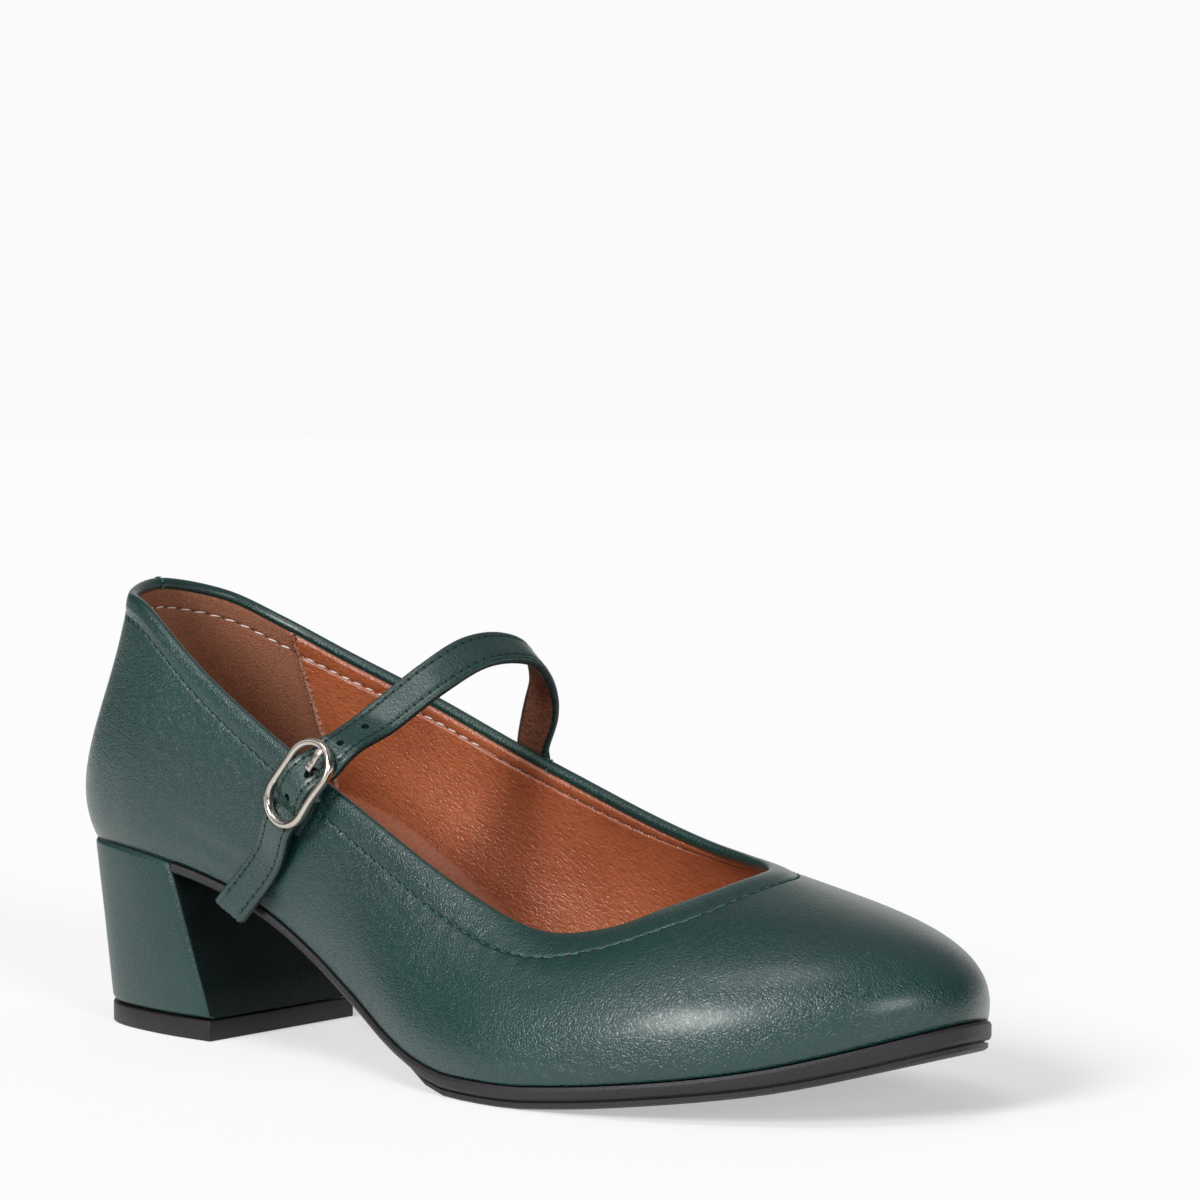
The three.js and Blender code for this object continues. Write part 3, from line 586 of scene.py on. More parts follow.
def grain_leather(name, dark, light, roughness, grain_size, grain_depth, crease_depth, coat=0.0,
                  specular=0.5, folds=0.0, valley_shade=0.35, wrinkle_scale=2400.0):
    """Grained leather: pebbles from cells, fine wrinkles from noise, long folds that run with the
    shoe, and a slow drift of colour. Its colour is darkened in the valleys between the pebbles, or
    in those of the long folds: painted shade. Depths in millimetres."""
    material, tree, shader = new_material(name)
    place = object_coordinates(tree)
    drift = noise(tree, 28.0, 3.0, 0.5, place)
    colour = ramp(tree, drift.outputs["Fac"], [(0.35, dark), (0.68, light)])
    warp = noise(tree, 420.0, 2.0, 0.5, place)
    warped = mix(tree, "ADD", place, warp.outputs["Color"], 0.0016)
    cells = new_node(tree, "TexVoronoi", feature="SMOOTH_F1")
    feed(tree, cells, {"Scale": 1.0 / (grain_size * MM), "Smoothness": 0.45, "Vector": warped})
    wrinkles = noise(tree, wrinkle_scale, 4.0, 0.62, place)
    height = sum_of(tree, cells.outputs["Distance"], wrinkles.outputs["Fac"], crease_depth)
    if folds:
        lie = object_coordinates(tree, FOLD_STRETCH, FOLD_TURN, "TEXTURE")
        long_folds = noise(tree, 1700.0, 1.5, 0.5, lie)
        feed(tree, long_folds, {"Distortion": 0.5})
        height = sum_of(tree, height, long_folds.outputs["Fac"], folds)
        # Darker in the valleys of the long folds: painted shade.
        shade = ramp(tree, long_folds.outputs["Fac"],
                     [(0.50, grey(1.0)), (0.64, (0.72, 0.68, 0.66))])
        valley_shade = 0.75
    else:
        # Darker in the valleys between the pebbles: painted shade.
        shade = ramp(tree, cells.outputs["Distance"], [(0.25, grey(1.0)), (0.85, grey(0.5))])
    bumped(tree, shader, height, strength=1.0, depth=grain_depth, invert=True)
    rough = ramp(tree, wrinkles.outputs["Fac"],
                 [(0.3, grey(roughness - 0.05)), (0.75, grey(roughness + 0.08))])
    feed(tree, shader, {
        "Base Color": mix(tree, "MULTIPLY", colour, shade, valley_shade), "Roughness": rough,
        "Specular IOR Level": specular, "Coat Weight": coat, "Coat Roughness": 0.25})
    return material


TEAL_DARK, TEAL_LIGHT = (0.0015, 0.0290, 0.0250), (0.0027, 0.0375, 0.0325)
upper_leather = grain_leather(
    "upper_leather", TEAL_DARK, TEAL_LIGHT, roughness=0.33, grain_size=0.46, grain_depth=0.15,
    crease_depth=0.3, coat=0.35, specular=0.55)
binding_leather = grain_leather(
    "binding_leather", TEAL_DARK, TEAL_LIGHT, roughness=0.34, grain_size=0.60, grain_depth=0.14,
    crease_depth=0.7, coat=0.45)
tan_lining = grain_leather(
    "tan_lining", (0.325, 0.078, 0.026), (0.430, 0.118, 0.043), roughness=0.34, grain_size=0.60,
    grain_depth=0.11, crease_depth=0.5, coat=0.6, specular=0.9, folds=1.7)
suede_lining = grain_leather(
    "suede_lining", (0.320, 0.128, 0.070), (0.430, 0.182, 0.106), roughness=0.95, grain_size=0.42,
    grain_depth=0.20, crease_depth=2.0, specular=0.2, valley_shade=0.7)
for material in (upper_leather, binding_leather, tan_lining, suede_lining):
    upper.data.materials.append(material)
upper.data.polygons.foreach_set("material_index", slot_of_face.astype(np.int32))
merge_doubles(upper, 1e-7)
outward(upper)
smooth(upper)
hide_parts("upper")
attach(upper, "root")


def flowing_line(points, others, per_span=24):
    """A smooth line through points whose steps may be very uneven, with vectors that follow it."""
    ends = np.concatenate([[2 * points[0] - points[1]], points, [2 * points[-1] - points[-2]]])
    vectors = np.concatenate([[others[0]], others, [others[-1]]])
    knots = np.concatenate([[0.0], np.cumsum(np.linalg.norm(np.diff(ends, axis=0), axis=1)**0.5)])
    dense, carried = [], []
    for i in range(1, len(points)):
        k0, k1, k2, k3 = knots[i - 1:i + 3]
        for k in np.linspace(k1, k2, per_span, endpoint=False):
            values = []
            for rows in (ends, vectors):
                p0, p1, p2, p3 = rows[i - 1:i + 3]
                a1 = (k1 - k) / (k1 - k0) * p0 + (k - k0) / (k1 - k0) * p1
                a2 = (k2 - k) / (k2 - k1) * p1 + (k - k1) / (k2 - k1) * p2
                a3 = (k3 - k) / (k3 - k2) * p2 + (k - k2) / (k3 - k2) * p3
                b1 = (k2 - k) / (k2 - k0) * a1 + (k - k0) / (k2 - k0) * a2
                b2 = (k3 - k) / (k3 - k1) * a2 + (k - k1) / (k3 - k1) * a3
                values.append((k2 - k) / (k2 - k1) * b1 + (k - k1) / (k2 - k1) * b2)
            dense.append(values[0])
            carried.append(values[1])
    dense.append(points[-1])
    carried.append(others[-1])
    return np.array(dense), np.array(carried)


def at_places(places, run, values):
    return np.stack([np.interp(places, run, values[:, i]) for i in range(3)], -1)


def even_steps(points, vectors, step):
    run = running_length(points)
    places = np.linspace(0.0, run[-1], int(run[-1] / step) + 1)
    return at_places(places, run, points), unit(at_places(places, run, vectors)), places


def carried_frames(points, faces):
    """Tangent, across and face directions along a line."""
    tangent = unit(np.gradient(points, axis=0))
    across = unit(np.cross(tangent, faces))
    return tangent, across, np.cross(across, tangent)


def swept(name, middle, across, face, section, closed=False):
    """A section carried along a line: width and height pairs, or one set of them per place."""
    section = np.asarray(section, float)
    if section.ndim == 2:
        section = np.repeat(section[None], len(middle), 0)
    points = (middle[:, None] + section[..., :1] * across[:, None]
              + section[..., 1:] * face[:, None])
    piece, _, _ = grid_piece(name, in_place(points), closed, True)
    merge_doubles(piece, 1e-7)
    if not closed:
        capped(piece)
    outward(piece)
    return piece


def scattered(name, shape, faces, middle, side, out, along, material):
    """One small template laid at many places, as one mesh."""
    vertices = (middle[:, None] + shape[None, :, 0:1] * side[:, None]
                + shape[None, :, 1:2] * out[:, None]
                + shape[None, :, 2:3] * along[:, None]).reshape(-1, 3)
    size = len(shape)
    mesh = bpy.data.meshes.new(name)
    mesh.from_pydata(vertices * MM, [], [tuple(v + i * size for v in face)
                                         for i in range(len(middle)) for face in faces])
    row = bpy.data.objects.new(name, mesh)
    view.collection.objects.link(row)
    mesh.materials.append(material)
    outward(row)
    smooth(row)
    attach(row, "root")
    return row


def bead(width, height, length, segments=8, rings=6):
    """Vertices and faces of one small drawn-out ball."""
    deselect_all()
    bpy.ops.mesh.primitive_uv_sphere_add(segments=segments, ring_count=rings, radius=0.5)
    one = bpy.context.object
    shape = np.zeros(len(one.data.vertices) * 3)
    one.data.vertices.foreach_get("co", shape)
    faces = [tuple(face.vertices) for face in one.data.polygons]
    bpy.data.objects.remove(one)
    return shape.reshape(-1, 3) * (width, height, length), faces


def stitch_row(name, points, normals, pitch, length, width, height, thread, needle, lean=0.0):
    """Thread along a line: one stitch is modelled as a drawn-out ball and copied at equal steps,
    with a flat near-black ball between each two for the needle hole: painted shade."""
    points = points + (HEEL_BACK, HEEL_MIDDLE, 0.0)
    run = running_length(points)
    count = int(round(run[-1] / pitch))

    def laid(places):
        middle, ahead, behind = [at_places(places + step, run, points) for step in (0.0, 0.2, -0.2)]
        along = unit(ahead - behind)
        out = unit(at_places(places, run, normals))
        side = unit(np.cross(along, out))
        along = unit(along + side * lean)
        return middle, unit(np.cross(along, out)), out, along

    middle, side, out, along = laid((np.arange(count) + 0.5) * run[-1] / count)
    shape, faces = bead(width, height, length)
    row = scattered(name, shape, faces, middle + out * 0.34 * height, side, out, along, thread)
    middle, side, out, along = laid((np.arange(count - 1) + 1.0) * run[-1] / count)
    shape, faces = bead(needle, 0.30, needle * 1.15, 6, 4)
    hole_shade_beads = scattered(name + "_holes", shape, faces, middle, side, out, along, needle_hole_painted_shade)


def thread_material(name, colour, roughness=0.6):
    """Thread: fine light and dark flecks and a slightly rough face."""
    material, tree, shader = new_material(name)
    place = object_coordinates(tree)
    twist = noise(tree, 3800.0, 2.0, 0.5, place)
    tone = ramp(tree, twist.outputs["Fac"], [(0.35, shaded(colour, 0.6)), (0.7, colour)])
    bumped(tree, shader, twist.outputs["Fac"], strength=0.5, depth=0.05)
    feed(tree, shader, {"Base Color": tone, "Roughness": roughness})
    return material


teal_thread = thread_material("teal_thread", (0.026, 0.125, 0.105), 0.55)
pale_thread = thread_material("pale_thread", (0.95, 0.86, 0.78), 0.5)
brown_thread = thread_material("brown_thread", (0.20, 0.075, 0.040), 0.6)
# Near-black beads that stand for needle holes: painted shade.
needle_hole_painted_shade = thread_material("needle_hole_painted_shade", (0.003, 0.006, 0.006), 0.9)


# Topline seam and lining rows: teal thread closes the folded topline, and inside, the lining's own
# row is white at the heel. Ahead of it the row sinks into the tan leather and its thread is brown.
_, seam_out = wall_place(columns, outer_seam)
line = np.concatenate([sheet[seam_row], sheet[seam_row][:1]])
stitch_row("topline_stitches", line, np.concatenate([seam_out, seam_out[:1]]), pitch=3.1,
           length=1.5, width=0.42, height=0.44, thread=teal_thread, needle=0.95, lean=0.22)
_, lining_out = wall_place(columns, inner_seam)
for label, first, last, thread in (("heel", -4.6, 3.6, pale_thread),
                                   ("vamp", 3.7, 19.3, brown_thread)):
    span = np.arange(*(int(end / SECTION_COUNT * UPPER_COLUMNS) for end in (first, last)))
    stitch_row("lining_stitches_" + label, sheet[lining_seam_row, span], -lining_out[span],
               pitch=3.9, length=2.6, width=0.46, height=0.44, thread=thread, needle=0.45,
               lean=-0.12)

# Lining seam: the tan leather's raw edge stands up over the suede, held by a close row of stitches.
raw_edge = grain_leather(
    "raw_edge", (0.46, 0.170, 0.090), (0.85, 0.420, 0.280), roughness=0.9, grain_size=0.60,
    grain_depth=0.40, crease_depth=2.4, specular=0.2, valley_shade=0.9)
rng = np.random.default_rng(5)
for label, seam_s in (("inner", SUEDE_END_INNER), ("outer", SUEDE_END_OUTER)):
    shares = np.linspace(1.0, 0.03, 150)
    seam_run = leaning(np.full(len(shares), seam_s), shares)
    lengths = full_length(seam_run)
    below = np.maximum((1.0 - shares) * lengths, 2.55)
    keep = below > 2.56
    keep[np.argmax(keep) - 1] = True
    base, normal = wall_place(seam_run[keep], below[keep])
    lift = WALL + 0.75 + 0.10 * rng.normal(size=keep.sum())
    lift -= 0.20 * np.exp(-((below[keep] - 6.9) / 0.5)**2)
    line = base - normal * lift[:, None]
    tangent, across, face = carried_frames(line, -normal)
    width = np.clip(0.88 + 0.17 * rng.normal(size=len(line)), 0.5, 1.3)
    edge_section = np.array([(1.0, -0.75), (0.98, 0.10), (0.45, 0.34), (-0.2, 0.42), (-0.8, 0.30),
                             (-1.05, -0.75)])
    sections = edge_section[None] * np.stack([width, np.ones(len(line))], -1)[:, None]
    edge = swept("lining_edge_" + label, line, across, face, sections)
    smooth(edge, 60)
    edge.data.materials.append(raw_edge)
    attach(edge, "root")
    stitch_row("lining_seam_" + label, line + face * 0.34, face, pitch=1.6, length=0.90, width=0.36,
               height=0.34, thread=brown_thread, needle=0.55, lean=0.6)

# Joins of the binding: at the back its ends meet under crossed stitches, at the inner side a short
# seam closes it.
join_thread = thread_material("join_thread", (0.060, 0.210, 0.175), 0.45)
for label, join_s, leans in (("back", 0.10, (-0.9, 0.9)), ("inner", 18.52, (0.12,))):
    column = int(round(join_s / SECTION_COUNT * UPPER_COLUMNS))
    centre = top_edge[column] - edge_out[column] * 1.15 - edge_up[column] * 1.3
    line = sheet[binding_first + 1:binding_last + 1, column]
    out = unit(line - centre)
    for i, lean in enumerate(leans):
        stitch_row("binding_join_%s_%d" % (label, i), line + out * 0.03, out, pitch=1.5,
                   length=1.7 if i or lean < 0 else 1.3, width=0.34, height=0.34,
                   thread=join_thread, needle=0.5, lean=lean)

# Insole: a thin board covered with the same tan leather, cemented inside from heel seat to toe. Its
# cover curls up a little where it meets the lining.
sock_leather = grain_leather(
    "sock_leather", (0.285, 0.075, 0.028), (0.350, 0.098, 0.038), roughness=0.46, grain_size=1.1,
    grain_depth=0.08, crease_depth=0.6)
INSOLE_THICKNESS = 2.0
INSOLE_GAP = 0.3
INSOLE_COLUMNS = 240
# How far the cushioned cover climbs the inner wall: millimetres from the back, height.
ARCH_RISE = np.array([(0, 4.0), (30, 8.5), (47, 11.5), (76, 10.4), (92, 8.6), (110, 6.4),
                      (128, 3.6), (150, 1.0), (250, 0.0)])
insole_columns = np.linspace(0.0, SECTION_COUNT, INSOLE_COLUMNS, endpoint=False)
insole_foot = plan(0, insole_columns) - plan_normal(0, insole_columns) * (WALL + INSOLE_GAP)
inner_side = 0.3 + 0.7 * smooth_step(-6.0, 14.0, insole_foot[:, 1])
rise = np.interp(insole_foot[:, 0], ARCH_RISE[:, 0], ARCH_RISE[:, 1]) * inner_side
wall_t, insole_lengths = wall_lengths(insole_columns)
insole_t = np.array([np.interp(climb + INSOLE_THICKNESS, row, wall_t)
                     for climb, row in zip(rise, insole_lengths)])
insole_edge = (wall_at(insole_columns, insole_t)
               - wall_normal(insole_columns, insole_t) * (WALL + 0.55))
# Both halves end on shared points of a middle line, so that they merge there.
across_from = np.roll(insole_foot[::-1], 1, axis=0)
spine_x = np.clip((insole_foot[:, 0] + across_from[:, 0]) / 2, 22.0, 222.0)
spine = np.stack([spine_x, np.interp(spine_x, [0, 90, 200, 250], [0, 0, 3, 5])], -1)
low = spine + (insole_foot - spine) * 0.96
insole_rows = [at_height(low, seat_height(low[:, 0])),
               at_height(insole_foot, seat_height(insole_foot[:, 0]) + 0.6)]
edge_height = insole_edge[:, 2] - seat_height(insole_edge[:, 0]) - INSOLE_THICKNESS
for share, curl, climb in [
        (1.0, -0.7, 1.0), (0.998, -0.2, 1.0), (0.985, 0.12, 0.985), (0.965, 0.18, 0.96),
        (0.94, 0.12, 0.92), (0.90, 0.0, 0.84), (0.84, 0.0, 0.72), (0.76, 0.0, 0.59),
        (0.66, 0.0, 0.47), (0.54, 0.0, 0.38), (0.4, 0.0, 0.32), (0.25, 0.0, 0.30),
        (0.1, 0.0, 0.30), (0.0, 0.0, 0.30)]:
    flat = spine + (insole_edge[:, :2] - spine) * share
    middle_rise = np.interp(flat[:, 0], ARCH_RISE[:, 0], ARCH_RISE[:, 1])
    lift = edge_height * (climb - 0.30) / 0.70 + middle_rise * 0.3 * (1.0 - (climb - 0.30) / 0.70)
    insole_rows.append(at_height(flat, seat_height(flat[:, 0]) + INSOLE_THICKNESS + lift + curl))
insole, _, _ = grid_piece("insole_cover", in_place(np.array(insole_rows)), False, True)
insole.data.materials.append(sock_leather)
merge_doubles(insole, 1e-6)
edited(insole, bpy.ops.mesh.select_non_manifold, lambda: bpy.ops.mesh.fill_holes(sides=0),
       start="DESELECT")
outward(insole)
smooth(insole, 50)
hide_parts("insole")
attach(insole, "root")


def cad_copy(node, name):
    """A copy of a CAD node to dress: its loose triangles are merged and flat ones joined."""
    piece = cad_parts[node].copy()
    piece.data = piece.data.copy()
    piece.name = name
    piece.data.name = name
    piece.data.materials.clear()
    view.collection.objects.link(piece)
    piece.parent = None
    merge_doubles(piece, 2e-6)
    edited(piece, lambda: bpy.ops.mesh.dissolve_limited(angle_limit=math.radians(0.5)))
    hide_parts(node)
    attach(piece, "root")
    return piece


def bevelled(piece, width, segments, angle):
    bevel = piece.modifiers.new("soft_edges", "BEVEL")
    bevel.width = width * MM
    bevel.segments = segments
    bevel.limit_method = "ANGLE"
    bevel.angle_limit = math.radians(angle)
    bevel.miter_outer = "MITER_ARC"
    bevel.harden_normals = False
    pick(piece)
    bpy.ops.object.modifier_apply(modifier=bevel.name)


# Outsole: one moulded rubber unit, two layers at the forefoot with a groove between them, running
# out to a thin edge in the shank. It is cemented under the upper from the toe to the heel's breast.
sole_rubber = grain_leather(
    "sole_rubber", (0.0125, 0.0108, 0.0135), (0.0190, 0.0165, 0.0200), roughness=0.5,
    grain_size=0.5, grain_depth=0.07, crease_depth=0.8, specular=0.42)
outsole = cad_copy("outsole", "moulded_outsole")
outsole.data.materials.append(sole_rubber)
smooth(outsole, 35)

# Heel: a stacked block covered with the upper's leather, glued and lasted round its soft edges. Its
# flat breast gets a much darker copy of that leather: painted shade.
heel_leather = grain_leather(
    "heel_leather", TEAL_DARK, TEAL_LIGHT, roughness=0.38, grain_size=0.55, grain_depth=0.12,
    crease_depth=0.5, coat=0.1)
heel = cad_copy("heel_block", "covered_heel")
heel.data.materials.append(heel_leather)
bevelled(heel, width=1.5, segments=5, angle=40)
# A much darker copy of the heel's leather for the breast: painted shade where the breast lies in
# shade.
breast_painted_shade = grain_leather(
    "breast_painted_shade", shaded(TEAL_DARK, 0.14), shaded(TEAL_LIGHT, 0.18), roughness=0.5,
    grain_size=0.5, grain_depth=0.12, crease_depth=0.6, specular=0.16)
heel.data.materials.append(breast_painted_shade)
# Faces turned forward along x are the breast and take the painted shade.
for face in heel.data.polygons:
    face.material_index = int(face.normal.x > 0.8)
smooth(heel, 50)

# Top-lift: dark rubber, pinned under the heel and trimmed flush with its cover.
lift_rubber = grain_leather(
    "lift_rubber", (0.0085, 0.0058, 0.0064), (0.0125, 0.0090, 0.0096), roughness=0.46,
    grain_size=0.4, grain_depth=0.05, crease_depth=0.8, specular=0.40)
lift = cad_copy("heel_top_lift", "top_lift")
lift.data.materials.append(lift_rubber)
bevelled(lift, width=0.35, segments=3, angle=40)
smooth(lift, 50)

# Strap: leather turned round a stiffener, with a suede backing, stitched near both edges. It is
# sewn to the inner side, crosses the instep, and goes through the buckle, its tail hanging outside.
STRAP_WIDTH = 9.6
STRAP_THICKNESS = 2.1
FIT_GAP = 0.3
BUCKLE_LENGTH = 21.8
BUCKLE_OPENING = 10.4
BUCKLE_BAR = 1.4
BUCKLE_DEPTH = 2.6
BAR_RADIUS = 0.7
BAR_HEIGHT = 1.5 + BAR_RADIUS
KEEPER_THICKNESS = 0.7
KEEPER_WIDTH = 8.0
STRAP_OVER_BAR = BAR_HEIGHT + BAR_RADIUS + 2 * FIT_GAP + KEEPER_THICKNESS + STRAP_THICKNESS / 2
BUCKLE_STAND_OFF = STRAP_OVER_BAR + STRAP_THICKNESS / 2 - BUCKLE_DEPTH / 2
STRAP_UNDER_BAR = BUCKLE_STAND_OFF - BUCKLE_DEPTH / 2 - FIT_GAP - STRAP_THICKNESS / 2
STRAP_ROOT_SECTION = 18.86
TAIL_RUN = np.array((-0.69, -0.01, -0.72))

buckle_long = unit(np.array((0.55, 0.2, 0.81)))
wall_out = wall_normal(4.3, 0.93)
buckle_out = unit(wall_out - buckle_long * (wall_out @ buckle_long))
buckle_across = np.cross(buckle_out, buckle_long)
buckle_seat = wall_at(4.3, 0.93)


def in_buckle(long, across, out):
    """A point in the buckle's own directions: up the strap, across the bar, away from the foot."""
    parts = [np.asarray(value, float)[..., None] * way for value, way in
             ((long, buckle_long), (across, buckle_across), (out, buckle_out))]
    return buckle_seat + parts[0] + parts[1] + parts[2]


def on_wall(s, t, lift):
    face = wall_normal(s, t)
    return wall_at(s, t) + face * lift, face


strap_points, strap_faces = [], []
for share in (0.84, 0.92, 1.0):
    point, face = on_wall(STRAP_ROOT_SECTION, share, FIT_GAP + STRAP_THICKNESS / 2 + 0.35)
    strap_points.append(point)
    strap_faces.append(face)
# The free stretch over the instep: shares of length, width and collar height, and the way it faces.
STRAP_ARCH = [
    ((0.445, 0.357, 0.729), (0.15, 0.66, 0.73)), ((0.453, 0.336, 0.787), (0.40, 0.50, 0.78)),
    ((0.459, 0.268, 0.848), (0.60, 0.30, 0.80)), ((0.455, 0.190, 0.868), (0.68, 0.08, 0.80)),
    ((0.449, 0.070, 0.861), (0.66, -0.16, 0.75)), ((0.438, -0.060, 0.810), (0.50, -0.54, 0.62)),
    ((0.415, -0.203, 0.722), (0.30, -0.84, 0.43)),
]
for (along, across, up), face in STRAP_ARCH:
    strap_points.append(np.array((along * SHOE_LENGTH, across * BALL_WIDTH, up * COLLAR_HEIGHT)))
    strap_faces.append(unit(np.array(face)))
STRAP_SHIFT = 0.35
between = (STRAP_UNDER_BAR + STRAP_OVER_BAR) / 2 + STRAP_THICKNESS / 4
for reach, aside, height in [
        (1, -1.3, STRAP_UNDER_BAR - FIT_GAP), (0.62, -0.6, STRAP_UNDER_BAR - FIT_GAP),
        (0.33, 0.0, between), (0, STRAP_SHIFT, STRAP_OVER_BAR), (-0.33, STRAP_SHIFT, between),
        (-0.62, STRAP_SHIFT, STRAP_UNDER_BAR), (-1, STRAP_SHIFT, STRAP_UNDER_BAR)]:
    long = reach * BUCKLE_LENGTH / 2
    strap_points.append(in_buckle(long, aside, height))
    strap_faces.append(buckle_out)
lying, lying_face = on_wall(3.98, 0.38, FIT_GAP + STRAP_THICKNESS / 2)
strap_points += [lying, lying + TAIL_RUN * 18.0]
strap_faces += [lying_face, lying_face]
strap_points, strap_faces = np.array(strap_points), np.array(strap_faces)
dense_points, dense_faces = flowing_line(strap_points, strap_faces)
strap_middle, strap_face_way, strap_run = even_steps(dense_points, dense_faces, 0.6)
strap_tangent, strap_across, strap_face = carried_frames(strap_middle, strap_face_way)

half, thick = STRAP_WIDTH / 2, STRAP_THICKNESS / 2
ROW_INSET = 1.75
SUEDE_INSET = 0.9
top_ws = np.linspace(half - 0.55, -(half - 0.55), 27)
top_hs = thick - 0.10 * (np.abs(top_ws) / half)**4
top_hs += (hollow(top_ws, half - ROW_INSET, width=0.40, depth=0.10)
           + hollow(top_ws, -(half - ROW_INSET), width=0.40, depth=0.10))
edge_angles = np.radians([55, 35, 12, -12, -35, -55])
right_edge = [(half - 0.75 + 0.75 * math.cos(a), 0.95 * thick * math.sin(a)) for a in edge_angles]
left_edge = [(-w, h) for w, h in right_edge[::-1]]
suede_w = half - SUEDE_INSET
under = [(half - 0.7, -thick + 0.02), (suede_w + 0.02, -thick), (suede_w, -thick + 0.22)]
under += [(w, -thick + 0.16) for w in np.linspace(suede_w - 0.3, -(suede_w - 0.3), 9)]
under += [(-w, h) for w, h in under[2::-1]]
section = np.array(right_edge + under + left_edge + list(zip(-top_ws, top_hs)))
# The tail's cut end is slanted and torn, so its last rings are pushed along by different amounts.
TAIL_SLANT = 0.3
rng = np.random.default_rng(11)
ragged = rng.uniform(-0.35, 0.35, len(section))
ragged = (ragged + np.roll(ragged, 1)) / 2
points = (strap_middle[:, None] + section[None, :, :1] * strap_across[:, None]
          + section[None, :, 1:] * strap_face[:, None])
slant = TAIL_SLANT * section[:, 0]
for back, weight in [(1, 1.0), (2, 0.86), (3, 0.7), (4, 0.52), (5, 0.34), (6, 0.18), (7, 0.07)]:
    points[-back] += strap_tangent[-back] * (slant * weight)[:, None]
points[-1] += strap_tangent[-1] * ragged[:, None]
strap, _, strap_columns = grid_piece("instep_strap", in_place(points), False, True)
strap_leather = grain_leather(
    "strap_leather", TEAL_DARK, TEAL_LIGHT, roughness=0.33, grain_size=0.60, grain_depth=0.20,
    crease_depth=0.7, coat=0.5)
strap_suede = grain_leather(
    "strap_suede", (0.150, 0.046, 0.024), (0.275, 0.100, 0.056), roughness=0.9, grain_size=0.7,
    grain_depth=0.40, crease_depth=2.2, specular=0.25, valley_shade=0.9)
strap.data.materials.append(strap_leather)
strap.data.materials.append(strap_suede)
# A darker copy of the strap's leather on its lower edge and the end of its underside: painted
# shade. The upper edge keeps the plain leather.
strap_edge_painted_shade = grain_leather(
    "strap_edge_painted_shade", shaded(TEAL_DARK, 0.35), shaded(TEAL_LIGHT, 0.4), roughness=0.4, grain_size=0.6,
    grain_depth=0.20, crease_depth=0.7, specular=0.3)
strap.data.materials.append(strap_edge_painted_shade)
first_under = len(right_edge) + 1
last_under = len(right_edge) + len(under) - 3
edge_first = len(right_edge) + len(under)
# Faces of the lower edge, which take the painted shade.
on_shaded_edge = (strap_columns > last_under) & (strap_columns < edge_first + 4)
on_suede = (strap_columns >= first_under) & (strap_columns <= last_under)
strap_slots = np.where(on_shaded_edge, 2, on_suede)
strap.data.polygons.foreach_set("material_index", strap_slots.astype(np.int32))
merge_doubles(strap, 1e-7)
capped(strap)
outward(strap)

# Punched holes at equal steps from the prong, and the one that the prong has pulled long.
HOLE_PITCH = 8.0
HOLE_RADIUS = 0.9
PRONG_HOLE_REACH = 4.6
PULLED_HOLE = 1.35  # how far the pull of the prong leaves the free holes past their even step
PRONG_ASIDE = -0.75  # the prong lies to the toe's side of the strap's middle
prong_place = in_buckle(PRONG_HOLE_REACH, STRAP_SHIFT, STRAP_OVER_BAR)
prong_run = strap_run[np.argmin(np.linalg.norm(strap_middle - prong_place, axis=1))]


def punch(place, long_radius, cross_radius, aside=0.0):
    i = int(np.argmin(np.abs(strap_run - place)))
    deselect_all()
    bpy.ops.mesh.primitive_cylinder_add(vertices=20, radius=1.0, depth=1.0)
    tool = bpy.context.object
    turn = Matrix((strap_tangent[i] * long_radius * MM, strap_across[i] * cross_radius * MM,
                   strap_face[i] * 4.0 * MM)).transposed().to_4x4()
    turn.translation = Vector(in_place(strap_middle[i] + strap_across[i] * aside))
    tool.data.transform(turn)
    outward(tool)
    cut = strap.modifiers.new("punched_hole", "BOOLEAN")
    cut.operation = "DIFFERENCE"
    cut.solver = "EXACT"
    cut.object = tool
    pick(strap)
    bpy.ops.object.modifier_apply(modifier=cut.name)
    bpy.data.objects.remove(tool)


for pitches in (-2, -1, 1):
    pulled = PULLED_HOLE if pitches < 0 else 0.0
    punch(prong_run + pitches * HOLE_PITCH - pulled, HOLE_RADIUS, HOLE_RADIUS)
punch(prong_run, 1.7, 1.15, PRONG_ASIDE - STRAP_SHIFT)
smooth(strap, 38)
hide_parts("strap")
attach(strap, "root")

strap_thread = thread_material("strap_thread", (0.008, 0.052, 0.045), 0.45)
for side, label in ((1, "upper"), (-1, "lower")):
    line = strap_middle + strap_across * side * (half - ROW_INSET) + strap_face * (thick - 0.12)
    stitch_row("strap_stitches_" + label, line[3:-3], strap_face[3:-3], pitch=2.3, length=1.25,
               width=0.38, height=0.24, thread=strap_thread, needle=0.86, lean=0.1)

# Buckle frame: a cast oval, satin nickel plated, bowed to the foot, with a centre bar set down on
# its inner side for the elastic and the prong.
metal, metal_tree, metal_shader = new_material("satin_nickel")
metal_place = object_coordinates(metal_tree)
brushed = noise(metal_tree, 420.0, 3.0, 0.5, metal_place)
handled = noise(metal_tree, 130.0, 3.0, 0.5, metal_place)
metal_colour = ramp(metal_tree, handled.outputs["Fac"],
                    [(0.35, (0.60, 0.545, 0.48)), (0.7, (0.69, 0.635, 0.565))])
metal_rough = ramp(metal_tree, brushed.outputs["Fac"], [(0.3, grey(0.17)), (0.75, grey(0.23))])
feed(metal_tree, metal_shader,
     {"Base Color": metal_colour, "Roughness": metal_rough, "Metallic": 1.0})

